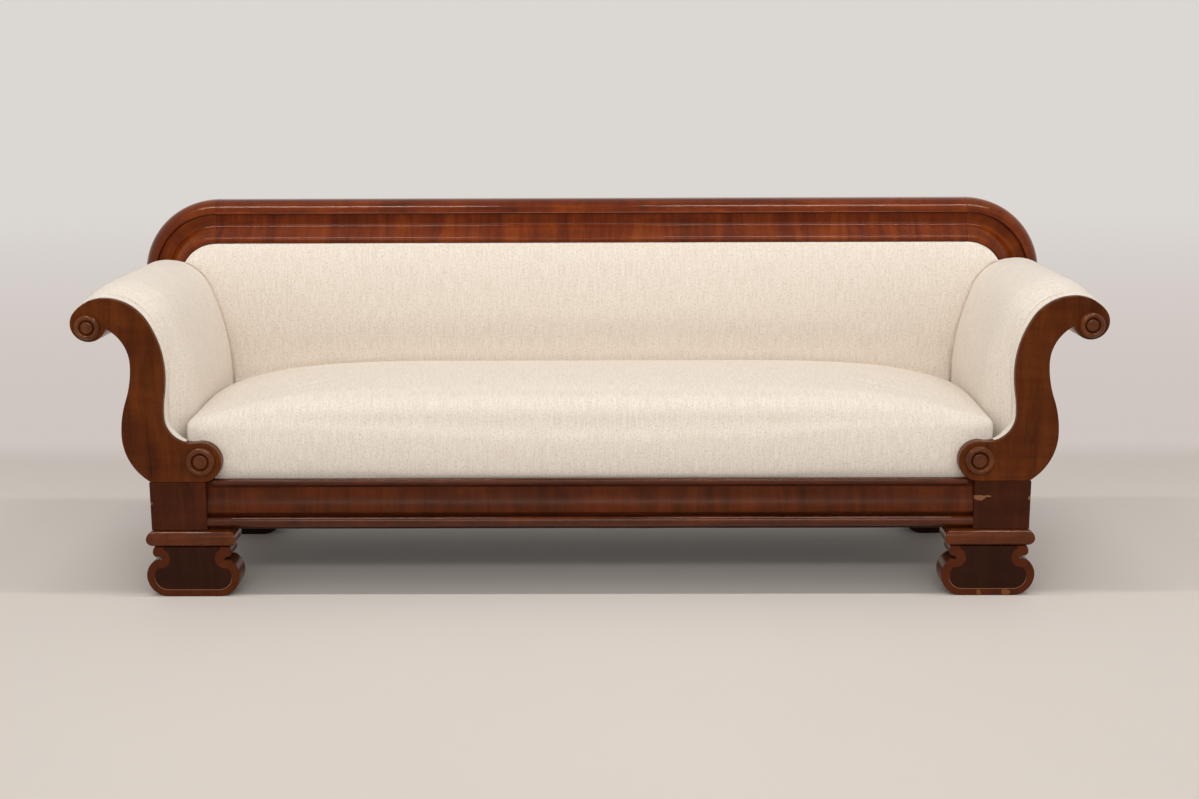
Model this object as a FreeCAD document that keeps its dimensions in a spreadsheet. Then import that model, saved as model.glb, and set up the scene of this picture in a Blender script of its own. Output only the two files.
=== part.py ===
import FreeCAD, Part
import math
import os
import Sketcher
from FreeCAD import Vector

# Scroll-arm empire sofa. Lengths in millimetres, +X to the right, +Y to the rear, soles at Z = 0.
doc = FreeCAD.newDocument("empire_sofa")
sheet = doc.addObject("Spreadsheet::Sheet", "dims")

DIMENSIONS = {
    # Overall sizes
    "overall_width": 2214,
    "overall_depth": 574,
    "overall_height": 823,
    # Base frame
    "arm_overhang": 150,
    "foot_height": 112.5,
    "cap_height": 37.5,
    "block_width": 122,
    "block_height": 108,
    "block_depth": 58,
    "rail_lift": 5,
    "rail_setback": 18,
    "side_rail_thickness": 45,
    "side_rail_inset": 7,
    "tenon_length": 22,
    "tenon_thickness": 16,
    "tenon_height": 62,
    "corner_block_leg": 85,
    "brace_width": 34,
    "brace_height": 36,
    "brace_spacing": 570,
    # Front rail mouldings
    "lower_bead_height": 23.5,
    "moulding_gap": 6,
    "ogee_height": 58.5,
    "top_bead_rise": 5,
    "top_bead_height": 14,
    "lower_bead_proud": 18,
    "top_bead_proud": 14,
    "ogee_nose": 13,
    "ogee_nose_rise": 15,
    "ogee_hollow": 2,
    # Feet
    "foot_centre_inset": 86,
    "lobe_half_width": 102,
    "lobe_height": 47,
    "lobe_shoulder_width": 81,
    "lobe_shoulder_height": 83,
    "sole_half_width": 56,
    "ear_half_width": 86.5,
    "ear_rise": 10,
    "notch_depth": 13,
    "notch_height": 7,
    "cap_half_width": 97.5,
    "cap_proud": 11.5,
    "foot_proud": 3,
    "rear_foot_depth": 77,
    # Scroll arms
    "crest_rise": 161.5,
    "arm_board": 28,
    "volute_reach": 111.5,
    "volute_drop": 55.5,
    "volute_round": 38.5,
    "volute_corner_turn": 195,
    "apex_reach": 76,
    "apex_round": 105,
    "waist_in_reach": 46,
    "waist_in_drop": 164.5,
    "waist_out_reach": 27,
    "waist_out_drop": 144.5,
    "belly_in_reach": 38,
    "belly_in_rise": 145,
    "belly_out_reach": 54,
    "belly_out_rise": 104,
    "scroll_toe_inset": 4,
    "boss_inset": 115,
    "boss_round": 44,
    "post_leg_reach": 58,
    # Roundels
    "upper_roundel_round": 27.5,
    "lower_roundel_round": 32,
    "roundel_proud": 13,
    "upper_roundel_drop": 61.5,
    "lower_roundel_rise": 47,
    # Back and crest
    "back_frame_depth": 40,
    "back_cover": 3,
    "stile_width": 54,
    "stile_inset": 61,
    "back_rail_height": 52,
    "back_rail_lift": 60,
    "crest_depth": 77,
    "crest_height": 100,
    "crest_corner_inset": 57,
    "roll_round": 42,
    "roll_rear_flat": 18,
    "roll_lip_turn": 13.6,
    "crest_corner_round": 183,
    "crest_quirk": 5,
    "crest_band_height": 16,
    "crest_nose_rise": 8,
    # Upholstery
    "soft_gap": 0.4,
    "curved_soft_gap": 1.2,
    "arm_pad_thickness": 46,
    "arm_pad_crown": 22,
    "arm_pad_wrap": 1.5,
    "arm_pad_back_inset": 30,
    "arm_pad_inner_rise": 112,
    "arm_pad_apex_shift": 25,
    "arm_pad_straight": 172,
    "arm_pad_round": 34,
    "roll_bar_round": 26,
    "tack_rail_height": 48,
    "tack_rail_width": 36,
    "cover_thickness": 3,
    "seat_crown": 446,
    "seat_end_drop": 62,
    "seat_edge_round": 46,
    "seat_rear_fall": 12,
    "seat_skirt": 50,
    "seat_deck": 326,
    "deck_thickness": 3,
    "back_pad_thickness": 33,
    "back_pad_crown": 24,
    "back_pad_crown_rise": 134,
    "back_pad_top_tuck": 9,
    "back_pad_side_tuck": 16,
    # Springing
    "strap_width": 52,
    "strap_thickness": 2,
    "strap_setback": 12,
    "spring_round": 42,
    "spring_waist": 28,
    "spring_pitch": 212,
    "spring_row_pitch": 128,
    "dust_cover_thickness": 1.5,
    "dust_cover_setback": 5,
    # Loose tenons
    "peg_width": 18,
    "peg_reach": 26,
    "peg_edge": 24,
    "peg_clearance": 0.2,
}

for row, (alias, number) in enumerate(DIMENSIONS.items(), 1):
    sheet.set(f"A{row}", alias.replace("_", " "))
    sheet.set(f"B{row}", str(number))
    sheet.setAlias(f"B{row}", alias)
doc.recompute()


class Size:
    """A length that knows its number and the sheet formula it comes from."""

    def __init__(self, number, text):
        self.number = float(number)
        self.text = text

    def __add__(self, other):
        other = size(other)
        return Size(self.number + other.number, f"({self.text} + {other.text})")

    def __sub__(self, other):
        other = size(other)
        return Size(self.number - other.number, f"({self.text} - {other.text})")

    def __mul__(self, other):
        other = size(other)
        return Size(self.number * other.number, f"({self.text} * {other.text})")

    def __truediv__(self, other):
        other = size(other)
        return Size(self.number / other.number, f"({self.text} / {other.text})")

    def __neg__(self):
        return Size(-self.number, f"(0 - {self.text})")

    def __radd__(self, other):
        return size(other) + self

    def __rsub__(self, other):
        return size(other) - self

    def __rmul__(self, other):
        return size(other) * self


def size(thing):
    return thing if isinstance(thing, Size) else Size(thing, f"({float(thing):g})")


def dim(alias):
    return Size(sheet.get(alias), f"dims.{alias}")


def cos_deg(angle):
    return Size(math.cos(math.radians(angle.number)), f"cos({angle.text} * 1deg)")


def sin_deg(angle):
    return Size(math.sin(math.radians(angle.number)), f"sin({angle.text} * 1deg)")


def along(start, end, share):
    return (start[0] + (end[0] - start[0]) * share, start[1] + (end[1] - start[1]) * share)


def upright_radius(across, rise):
    """Radius of the arc that leaves one end upright and reaches the other end across and up."""
    return (across * across + rise * rise) / (across * 2)


# Plain objects and sketches
def add_box(name, x, y, z):
    box = doc.addObject("Part::Box", name)
    for prop, axis, span in (("Length", "x", x), ("Width", "y", y), ("Height", "z", z)):
        box.setExpression(prop, (size(span[1]) - span[0]).text)
        box.setExpression(f"Placement.Base.{axis}", size(span[0]).text)
    return box


def add_rod(name, radius, start, length, axis="z"):
    rod = doc.addObject("Part::Cylinder", name)
    rod.setExpression("Radius", radius.text)
    rod.setExpression("Height", length.text)
    if axis == "y":
        rod.Placement = FreeCAD.Placement(Vector(), FreeCAD.Rotation(Vector(1, 0, 0), -90))
    for letter, value in zip("xyz", start):
        rod.setExpression(f"Placement.Base.{letter}", size(value).text)
    return rod


def group(name, members):
    compound = doc.addObject("Part::Compound", name)
    compound.Links = members
    return compound


def fused(name, members):
    fusion = doc.addObject("Part::MultiFuse", name)
    fusion.Shapes = members
    return fusion


def cut(name, base, tool):
    result = doc.addObject("Part::Cut", name)
    result.Base = base
    result.Tool = tool
    return result


def common(name, members):
    result = doc.addObject("Part::MultiCommon", name)
    result.Shapes = members
    return result


def mirrored(name, source):
    mirror = doc.addObject("Part::Mirroring", name)
    mirror.Source = source
    mirror.Normal = Vector(1, 0, 0)
    return mirror


def arc_between(start, end, radius, turn):
    """Minor arc from start to end; turn is +1 when it curves to the left and -1 to the right."""
    chord = end - start
    reach = math.sqrt(max(radius * radius - chord.Length ** 2 / 4, 0))
    side = Vector(-chord.y, chord.x, 0).normalize()
    centre = (start + end) * 0.5 + side * (reach * turn)
    spokes = [start - centre, end - centre]
    first, last = [math.atan2(spoke.y, spoke.x) for spoke in spokes[::turn]]
    return Part.ArcOfCircle(Part.Circle(centre, Vector(0, 0, 1), radius), first, last)


def outline_edges(outline):
    """Curves of a closed outline of (point, radius, turn); radius None is a straight side."""
    curves = []
    for index, (point, radius, turn) in enumerate(outline):
        target = outline[(index + 1) % len(outline)][0]
        start = Vector(point[0].number, point[1].number, 0)
        end = Vector(target[0].number, target[1].number, 0)
        if radius is None:
            curves.append(Part.LineSegment(start, end))
        else:
            curves.append(arc_between(start, end, radius.number, turn))
    return curves


def add_sketch(body, name, plane, outline, offset=None):
    sketch = body.newObject("Sketcher::SketchObject", name)
    support = [item for item in body.Origin.OriginFeatures if item.Role == plane][0]
    sketch.AttachmentSupport = [(support, "")]
    sketch.MapMode = "FlatFace"
    outline = [((size(point[0]), size(point[1])), radius, turn) for point, radius, turn in outline]
    for curve in outline_edges(outline):
        sketch.addGeometry(curve, False)
    ends = sketch_ends(outline)
    for index, (point, radius, turn) in enumerate(outline):
        following = (index + 1) % len(outline)
        link = Sketcher.Constraint("Coincident", index, ends[index][1], following, ends[following][0])
        sketch.addConstraint(link)
    for index, (point, radius, turn) in enumerate(outline):
        for kind, value in (("DistanceX", point[0]), ("DistanceY", point[1])):
            rule = Sketcher.Constraint(kind, -1, 1, index, ends[index][0], value.number)
            number = sketch.addConstraint(rule)
            sketch.setExpression(f"Constraints[{number}]", value.text)
        if radius is not None:
            number = sketch.addConstraint(Sketcher.Constraint("Radius", index, radius.number))
            sketch.setExpression(f"Constraints[{number}]", radius.text)
    if offset is not None:
        sketch.setExpression("AttachmentOffset.Base.z", size(offset).text)
    return sketch


def sketch_ends(outline):
    """Which end of each sketch edge comes first along the outline; arcs run counter-clockwise."""
    ends = []
    for point, radius, turn in outline:
        ends.append((2, 1) if turn < 0 else (1, 2))
    return ends


def add_body(name):
    return doc.addObject("PartDesign::Body", name)


def add_pad(body, sketch, length, reverse=False):
    pad = body.newObject("PartDesign::Pad", f"{body.Name}_pad")
    pad.Profile = sketch
    pad.setExpression("Length", size(length).text)
    pad.Reversed = reverse
    sketch.Visibility = False
    return pad


def board(name, outline, front, rear):
    """Board standing across the sofa: an X-Z outline from front to rear."""
    body = add_body(name)
    sketch = add_sketch(body, f"{name}_outline", "XZ_Plane", outline, -size(front))
    add_pad(body, sketch, size(rear) - front, reverse=True)
    return body


def moulding(name, outline, left, right):
    """Moulding run along the sofa: a Y-Z section from left to right."""
    body = add_body(name)
    sketch = add_sketch(body, f"{name}_section", "YZ_Plane", outline, left)
    add_pad(body, sketch, size(right) - left)
    return body


def straight(point):
    return (point, None, 0)


def arc(point, radius, turn):
    return (point, size(radius), turn)


# Datum planes
base_x = dim("overall_width") / 2 - dim("arm_overhang")
front_y = dim("roundel_proud") - dim("overall_depth") / 2
rear_y = dim("overall_depth") / 2 - dim("back_cover")
top_z = dim("overall_height")
base_z = dim("foot_height") + dim("cap_height")
block_z = base_z + dim("block_height")
apex_z = top_z - dim("crest_rise")
block_x = base_x - dim("block_width")
block_y = front_y + dim("block_depth")
frame_y = rear_y - dim("back_frame_depth")
post_y = rear_y - dim("crest_depth")
board_y = front_y + dim("arm_board")
foot_x = base_x - dim("foot_centre_inset")
boss_x = base_x - dim("boss_inset")
volute = (base_x + dim("volute_reach"), apex_z - dim("volute_drop"))
parts = []


def keep(piece, label):
    piece.Label = label
    parts.append(piece)
    return piece


def keep_pair(piece, label):
    """The piece as modelled is the right-hand one; the left-hand one is its mirror image."""
    keep(piece, f"{label}_right")
    keep(mirrored(f"{label}_mirror", piece), f"{label}_left")


# Loose tenons through foot, cap and block, foot and rear rail, and stile and crest
crest_z = top_z - dim("crest_height")
stile_x = base_x - dim("stile_inset") - dim("stile_width") / 2
rear_mid_y = rear_y - dim("back_frame_depth") / 2
peg_x = base_x - dim("peg_edge") - dim("peg_width") / 2
PEGS = {
    "front": (peg_x, front_y + dim("block_depth") / 2, dim("foot_height"), base_z),
    "rear": (peg_x, rear_mid_y, base_z, base_z),
    "crest": (stile_x, rear_mid_y, crest_z, crest_z),
}


def peg_set(name, spare):
    """Right-hand pegs, each reaching past the joint it crosses; spare enlarges them into mortises."""
    half = dim("peg_width") / 2 + spare
    reach = dim("peg_reach") + spare
    pegs = {}
    for place, (x, y, low, high) in PEGS.items():
        spans = (x - half, x + half), (y - half, y + half), (low - reach, high + reach)
        pegs[place] = add_box(f"{name}_{place}", *spans)
    return pegs


def both_sides(name, piece):
    return group(name, [piece, mirrored(f"{name}_mirror", piece)])


pegs = peg_set("peg", 0)
mortises = peg_set("mortise", dim("peg_clearance"))
keep(both_sides("foot_tenons", group("foot_tenons_right", [pegs["front"], pegs["rear"]])), "foot_tenons")
keep(both_sides("crest_tenons", pegs["crest"]), "crest_tenons")

# Seat frame: front rail with tenons, plinth blocks, side rails, rear rail
rail_y = front_y + dim("rail_setback")
rail_mid_y = (rail_y + block_y) / 2
rail_mid_z = base_z + dim("block_height") / 2


def tenon_spans(spare):
    thick = dim("tenon_thickness") / 2 + spare
    tall = dim("tenon_height") / 2 + spare
    return (rail_mid_y - thick, rail_mid_y + thick), (rail_mid_z - tall, rail_mid_z + tall)


tenon_y, tenon_z = tenon_spans(0)
tenon_reach = block_x + dim("tenon_length")
rail_bar = add_box("front_rail_bar", (-block_x, block_x), (rail_y, block_y), (base_z, block_z))
rail_tenon = add_box("front_rail_tenon", (-tenon_reach, tenon_reach), tenon_y, tenon_z)
keep(fused("front_rail_core", [rail_bar, rail_tenon]), "front_seat_rail")

mortise_y, mortise_z = tenon_spans(dim("peg_clearance"))
block = add_box("block_blank", (block_x, base_x), (front_y, block_y), (base_z, block_z))
mortise_x = (block_x - dim("peg_clearance"), tenon_reach + dim("peg_clearance"))
rail_mortise = add_box("block_mortise", mortise_x, mortise_y, mortise_z)
keep_pair(cut("plinth_block", block, group("block_holes", [rail_mortise, mortises["front"]])), "plinth_block")

side_x = base_x - dim("side_rail_inset")
side_span = (side_x - dim("side_rail_thickness"), side_x)
keep_pair(add_box("side_rail", side_span, (block_y, frame_y), (base_z, block_z)), "side_seat_rail")
rear_rail = add_box("rear_rail_blank", (-base_x, base_x), (frame_y, rear_y), (base_z, block_z))
keep(cut("rear_rail", rear_rail, both_sides("rear_rail_holes", mortises["rear"])), "rear_seat_rail")

brace_z = base_z + dim("strap_thickness")
braces = []
for index, side in enumerate((-1, 1)):
    middle = dim("brace_spacing") / 2 * side
    span = (middle - dim("brace_width") / 2, middle + dim("brace_width") / 2)
    height = (brace_z, brace_z + dim("brace_height"))
    braces.append(add_box(f"brace_{index}", span, (block_y, frame_y), height))
keep(group("seat_braces", braces), "seat_braces")


def corner_block(name, y, direction):
    """Triangular glue block in the corner of side rail and end rail."""
    body = add_body(name)
    corner = side_span[0]
    leg = dim("corner_block_leg")
    outline = [straight((corner, y)), straight((corner - leg, y)), straight((corner, y + leg * direction))]
    sketch = add_sketch(body, f"{name}_plan", "XY_Plane", outline, block_z - dim("tenon_height"))
    add_pad(body, sketch, dim("tenon_height") / 2)
    return body


glue_blocks = [corner_block("glue_block_front", block_y, 1), corner_block("glue_block_rear", frame_y, -1)]
glue_pair = group("glue_blocks_right", glue_blocks)
keep(group("glue_blocks", [glue_pair, mirrored("glue_blocks_left", glue_pair)]), "corner_glue_blocks")


# Mouldings on the front rail
def bead_section(back, bottom, height, proud):
    half = height / 2
    flat = back - (proud - half)
    return [straight((back, bottom)), straight((back, bottom + height)),
            arc((flat, bottom + height), half, 1), arc((back - proud, bottom + half), half, 1),
            straight((flat, bottom))]


def cyma(upper, lower):
    """Middle of the double curve that leaves both ends upright, and the radius of its two arcs."""
    radius = upright_radius(upper[0] - lower[0], upper[1] - lower[1]) / 2
    return along(upper, lower, size(0.5)), radius


lower_z = base_z + dim("rail_lift")
ogee_z = lower_z + dim("lower_bead_height") + dim("moulding_gap")
ogee_top_z = ogee_z + dim("ogee_height")
bead_top_z = block_z + dim("top_bead_rise")
bead_end_x = boss_x - dim("boss_round") / 2
lower_section = bead_section(rail_y, lower_z, dim("lower_bead_height"), dim("lower_bead_proud"))
keep(moulding("lower_bead", lower_section, -block_x, block_x), "front_rail_lower_bead")
top_bead_z = bead_top_z - dim("top_bead_height")
top_section = bead_section(rail_y, top_bead_z, dim("top_bead_height"), dim("top_bead_proud"))
keep(moulding("top_bead", top_section, -bead_end_x, bead_end_x), "front_rail_top_bead")

hollow = (rail_y - dim("ogee_hollow"), ogee_top_z)
nose = (rail_y - dim("ogee_nose"), ogee_z + dim("ogee_nose_rise"))
swing, swing_radius = cyma(hollow, nose)
under = (nose[0] + dim("ogee_nose_rise") / 2, ogee_z)
ogee_section = [
    straight((rail_y, ogee_z)), straight((rail_y, ogee_top_z)), arc(hollow, swing_radius, -1),
    arc(swing, swing_radius, 1), arc(nose, upright_radius(under[0] - nose[0], nose[1] - under[1]), 1),
    straight(under)]
keep(moulding("rail_ogee", ogee_section, -block_x, block_x), "front_rail_ogee")


# Feet: lobed outline with a keyhole notch between lobe and ear on each side
def foot_outline(top):
    half_notch = dim("notch_height") / 2
    shoulder = (dim("lobe_shoulder_width"), dim("lobe_shoulder_height"))
    notch_x = dim("lobe_shoulder_width") - dim("notch_depth") + half_notch
    ear_low = (shoulder[0] - 1, shoulder[1] + dim("notch_height"))
    ear = (dim("ear_half_width"), ear_low[1] + dim("ear_rise"))
    lobe = (dim("lobe_half_width"), dim("lobe_height"))
    neck = (ear[0] - 2.5, top)
    side = [
        ((dim("sole_half_width"), size(0)), upright_radius(lobe[0] - dim("sole_half_width"), lobe[1]), 1),
        (lobe, upright_radius(lobe[0] - shoulder[0], shoulder[1] - lobe[1]), 1),
        (shoulder, None, 0),
        ((notch_x, shoulder[1]), half_notch, -1),
        ((notch_x - half_notch, shoulder[1] + half_notch), half_notch, -1),
        ((notch_x, ear_low[1]), None, 0),
        (ear_low, upright_radius(ear[0] - ear_low[0], ear[1] - ear_low[1]), 1),
        (ear, upright_radius(ear[0] - neck[0], neck[1] - ear[1]), 1),
        (neck, None, 0),
    ]
    right = [((foot_x + point[0], size(point[1])), radius, turn) for point, radius, turn in side]
    left = []
    for index in range(len(side) - 1, -1, -1):
        point = side[index][0]
        bend = side[index - 1] if index else (None, None, 0)
        left.append(((foot_x - point[0], size(point[1])), bend[1], bend[2]))
    return right + left


front_foot = board("front_foot_blank", foot_outline(dim("foot_height")), front_y - dim("foot_proud"), block_y)
keep_pair(cut("front_foot", front_foot, mortises["front"]), "front_foot")
rear_foot = board("rear_foot_blank", foot_outline(base_z), rear_y - dim("rear_foot_depth"), rear_y)
keep_pair(cut("rear_foot", rear_foot, mortises["rear"]), "rear_foot")

cap_y = front_y - dim("cap_proud")
cap_half = dim("cap_height") / 2
cap_run = dim("cap_half_width") - cap_half
cap_mid_z = dim("foot_height") + cap_half
cap_ends = [straight((foot_x - cap_run, dim("foot_height"))),
            arc((foot_x + cap_run, dim("foot_height")), cap_half, 1),
            arc((foot_x + dim("cap_half_width"), cap_mid_z), cap_half, 1),
            straight((foot_x + cap_run, base_z)),
            arc((foot_x - cap_run, base_z), cap_half, 1),
            arc((foot_x - dim("cap_half_width"), cap_mid_z), cap_half, 1)]
cap_nose = bead_section(block_y, dim("foot_height"), dim("cap_height"), block_y - cap_y)
cap_long = board("cap_ends", cap_ends, cap_y, block_y)
cap_deep = moulding("cap_nose", cap_nose, foot_x - dim("cap_half_width"), foot_x + dim("cap_half_width"))
foot_cap = common("foot_cap_blank", [cap_long, cap_deep])
keep_pair(cut("foot_cap", foot_cap, mortises["front"]), "front_foot_cap")


# Scroll arms
def polar(centre, radius, angle):
    return (centre[0] + radius * cos_deg(size(angle)), centre[1] + radius * sin_deg(size(angle)))


def crown_arcs(apex, apex_round, waist, curl, curl_round):
    """Tangent arcs from curl over the apex and down to an upright waist: points and radii."""
    across = curl[0] - apex[0]
    drop = apex[1] - curl[1]
    over = (across * across + drop * drop - curl_round * curl_round) / ((drop - curl_round) * 2)
    over_centre = (apex[0], apex[1] - over)
    touch = along(over_centre, curl, over / (over - curl_round))
    span = apex[0] - waist[0]
    rise = apex[1] - waist[1]
    bend = (span * span + rise * rise - rise * apex_round * 2) / ((span - apex_round) * 2)
    bend_centre = (waist[0] + bend, waist[1])
    apex_centre = (apex[0], apex[1] - apex_round)
    meet = along(bend_centre, apex_centre, bend / (bend - apex_round))
    return touch, over, meet, bend


apex = (base_x + dim("apex_reach"), apex_z)
waist_in = (base_x - dim("waist_in_reach"), apex_z - dim("waist_in_drop"))
waist_out = (base_x + dim("waist_out_reach"), apex_z - dim("waist_out_drop"))
belly_in = (base_x - dim("belly_in_reach"), block_z + dim("belly_in_rise"))
belly_out = (base_x + dim("belly_out_reach"), block_z + dim("belly_out_rise"))
toe = (base_x - dim("scroll_toe_inset"), block_z)
boss = (boss_x, block_z + dim("boss_round"))
scroll_corner = polar(volute, dim("volute_round"), dim("volute_corner_turn"))


def outer_side(shift):
    """Outer edge of the scroll from toe to volute corner, moved inwards by shift."""
    low_radius = upright_radius(belly_out[0] - toe[0], belly_out[1] - toe[1])
    turn_point, sway_radius = cyma((belly_out[0], waist_out[1]), (waist_out[0], belly_out[1]))
    curl_radius = upright_radius(scroll_corner[0] - waist_out[0], scroll_corner[1] - waist_out[1])
    points = [(toe, low_radius, 1), (belly_out, sway_radius, 1), (turn_point, sway_radius, -1),
              (waist_out, curl_radius, -1), (scroll_corner, None, 0)]
    return [((point[0] - shift, point[1]), radius, turn) for point, radius, turn in points]


def scroll_outline(foot):
    """Closed outline of the scroll: outer side, volute, crown, then the given foot of the inner side."""
    touch, over, meet, bend = crown_arcs(apex, dim("apex_round"), waist_in, volute, dim("volute_round"))
    volute_low = polar(volute, dim("volute_round"), 300)
    outline = outer_side(size(0))[:-1]
    outline += [arc(scroll_corner, dim("volute_round"), 1), arc(volute_low, dim("volute_round"), 1),
                arc(touch, over, 1), arc(apex, dim("apex_round"), 1), arc(meet, bend, 1)]
    return outline + foot


def boss_foot():
    turn_point, sway_radius = cyma((belly_in[0], waist_in[1]), (waist_in[0], belly_in[1]))
    across = belly_in[0] - boss[0]
    drop = belly_in[1] - boss[1]
    round_in = dim("boss_round")
    cove = (across * across + drop * drop - round_in * round_in) / ((across + round_in) * 2)
    touch = along((belly_in[0] - cove, belly_in[1]), boss, cove / (cove + round_in))
    return [arc(waist_in, sway_radius, 1), arc(turn_point, sway_radius, -1), arc(belly_in, cove, -1),
            arc(touch, round_in, 1), arc((boss[0] - round_in, boss[1]), round_in, 1),
            straight((boss[0], block_z))]


keep_pair(board("scroll_front", scroll_outline(boss_foot()), front_y, board_y), "arm_scroll_front")
post_foot = [straight(waist_in), straight((base_x - dim("post_leg_reach"), block_z))]
post_blank = board("rear_post_blank", scroll_outline(post_foot), post_y, rear_y)
seat_line_z = top_z - dim("crest_corner_round")
crest_seat = add_box("post_crest_seat", (0, base_x * 2), (post_y - 1, rear_y + 1), (seat_line_z, top_z))
keep_pair(cut("rear_post", post_blank, crest_seat), "rear_arm_post")


# Roundels: turned ring, groove and button
def roundel(name, round_size, centre):
    body = add_body(name)
    proud = dim("roundel_proud")
    turning = [(0, 0), (0, 0.85), (0.32, 0.8), (0.45, 0.62), (0.52, 0.42), (0.62, 0.86), (0.72, 1),
               (0.83, 0.92), (1, 0.4), (1, 0)]
    outline = [straight((round_size * radius, -proud * height)) for radius, height in turning]
    sketch = add_sketch(body, f"{name}_section", "XY_Plane", outline)
    turned = body.newObject("PartDesign::Revolution", f"{name}_turning")
    turned.Profile = sketch
    turned.ReferenceAxis = (sketch, ["V_Axis"])
    turned.Angle = 360
    for letter, value in zip("xyz", (centre[0], front_y, centre[1])):
        body.setExpression(f"Placement.Base.{letter}", value.text)
    return body


upper_centre = (volute[0], apex_z - dim("upper_roundel_drop"))
lower_centre = (boss_x, block_z + dim("lower_roundel_rise"))
for label, round_size, centre in (("upper_roundels", dim("upper_roundel_round"), upper_centre),
                                  ("lower_roundels", dim("lower_roundel_round"), lower_centre)):
    keep(both_sides(label, roundel(f"{label}_right", round_size, centre)), label)

# Crest rail: top roll and ogee, straight in the middle and turned at the corners
lip_turn = dim("roll_lip_turn")
roll_y = rear_y - dim("roll_rear_flat")
lip_y = roll_y - dim("roll_round") * cos_deg(lip_turn)
lip_drop = dim("roll_round") * (1 - sin_deg(lip_turn))
corner_x = base_x - dim("crest_corner_inset")
corner_drop = dim("crest_corner_round")


def roll_section(top):
    lip_z = top - lip_drop
    return [straight((rear_y, lip_z)), straight((rear_y, top)),
            arc((roll_y, top), dim("roll_round"), 1), straight((lip_y, lip_z))]


def crest_section(top):
    lip_z = top - lip_drop
    low = top - dim("crest_height")
    band_y = lip_y + dim("crest_quirk")
    band = (band_y, lip_z - dim("crest_band_height"))
    front = (rear_y - dim("crest_depth"), low + dim("crest_nose_rise"))
    turn_point, radius = cyma(band, front)
    under_nose = (front[0] + dim("crest_nose_rise") * 0.6, low)
    nose_radius = upright_radius(under_nose[0] - front[0], front[1] - low)
    return [straight((rear_y, low)), straight((rear_y, lip_z)), straight((band_y, lip_z)),
            arc(band, radius, -1), arc(turn_point, radius, 1), arc(front, nose_radius, 1),
            straight(under_nose)]


def crest_corner(name, section):
    """The section turned a quarter circle, down to its seat on the rear post."""
    body = add_body(name)
    sketch = add_sketch(body, f"{name}_section", "YZ_Plane", section(corner_drop))
    turned = body.newObject("PartDesign::Revolution", f"{name}_turning")
    turned.Profile = sketch
    turned.ReferenceAxis = (sketch, ["H_Axis"])
    turned.Angle = 90
    body.setExpression("Placement.Base.x", corner_x.text)
    body.setExpression("Placement.Base.z", (top_z - corner_drop).text)
    return body


keep(moulding("roll_middle", roll_section(top_z), -corner_x, corner_x), "crest_roll_middle")
crest_middle = moulding("crest_middle_blank", crest_section(top_z), -corner_x, corner_x)
keep(cut("crest_middle", crest_middle, both_sides("crest_holes", mortises["crest"])), "crest_ogee_middle")
for label, section in (("crest_roll_corners", roll_section), ("crest_ogee_corners", crest_section)):
    keep(both_sides(label, crest_corner(f"{label}_right", section)), label)

# Back frame
stile_span = (base_x - dim("stile_inset") - dim("stile_width"), base_x - dim("stile_inset"))
stile = add_box("stile_blank", stile_span, (frame_y, rear_y), (block_z, crest_z))
keep_pair(cut("back_stile", stile, mortises["crest"]), "back_stile")
low_rail_z = block_z + dim("back_rail_lift")
high_rail_z = crest_z - dim("back_rail_height")
for label, bottom in (("back_lower_rail", low_rail_z), ("back_upper_rail", high_rail_z)):
    span = (-stile_span[0], stile_span[0])
    keep(add_box(label, span, (frame_y, rear_y), (bottom, bottom + dim("back_rail_height"))), label)
cover_span = (-stile_span[1], stile_span[1])
cover_y = (rear_y, rear_y + dim("back_cover"))
keep(add_box("outside_back", cover_span, cover_y, (base_z, crest_z)), "outside_back_cover")

# Inner arm frame and outside arm cover
roll_bar = add_rod("roll_bar", dim("roll_bar_round"), (volute[0], board_y, volute[1]), post_y - board_y, "y")
keep_pair(roll_bar, "arm_roll_rail")
pad_back_x = base_x - dim("arm_pad_back_inset")
tack_x = (pad_back_x + dim("soft_gap"), pad_back_x + dim("soft_gap") + dim("tack_rail_width"))
seat_deck = dim("seat_deck")
tack_z = (seat_deck, seat_deck + dim("tack_rail_height"))
keep_pair(add_box("tack_rail", tack_x, (board_y, post_y), tack_z), "arm_tack_rail")
cover_out = outer_side(size(1))
cover_in = outer_side(1 + dim("cover_thickness"))
cover_outline = cover_out[:-1] + [straight(cover_out[-1][0])]
for index in range(len(cover_in) - 1, -1, -1):
    bend = cover_in[index - 1] if index else (None, None, 0)
    cover_outline.append((cover_in[index][0], bend[1], -bend[2]))
keep_pair(board("arm_cover", cover_outline, board_y, post_y), "outside_arm_cover")

# Webbing, springs, deck and dust cover
SPRING_COLUMNS = range(-3, 4)
SPRING_ROWS = range(-1, 2)
seat_y = board_y + 1
seat_rear_y = frame_y - dim("back_pad_thickness")
skirt_y = seat_y + dim("seat_skirt")
spring_y = (skirt_y + seat_rear_y) / 2
strap_z = base_z - dim("strap_thickness")
half_strap = dim("strap_width") / 2
strap_ends = (rail_y + dim("strap_setback"), rear_y - dim("strap_setback"))
straps = []
for column in SPRING_COLUMNS:
    middle = dim("spring_pitch") * column
    straps.append(add_box(f"cross_strap_{column + 3}", (middle - half_strap, middle + half_strap),
                          strap_ends, (strap_z, base_z)))
for row in SPRING_ROWS:
    middle = spring_y + dim("spring_row_pitch") * row
    straps.append(add_box(f"long_strap_{row + 1}", (-side_span[0], side_span[0]),
                          (middle - half_strap, middle + half_strap), (base_z, brace_z)))
keep(group("seat_straps", straps), "seat_webbing")

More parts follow.
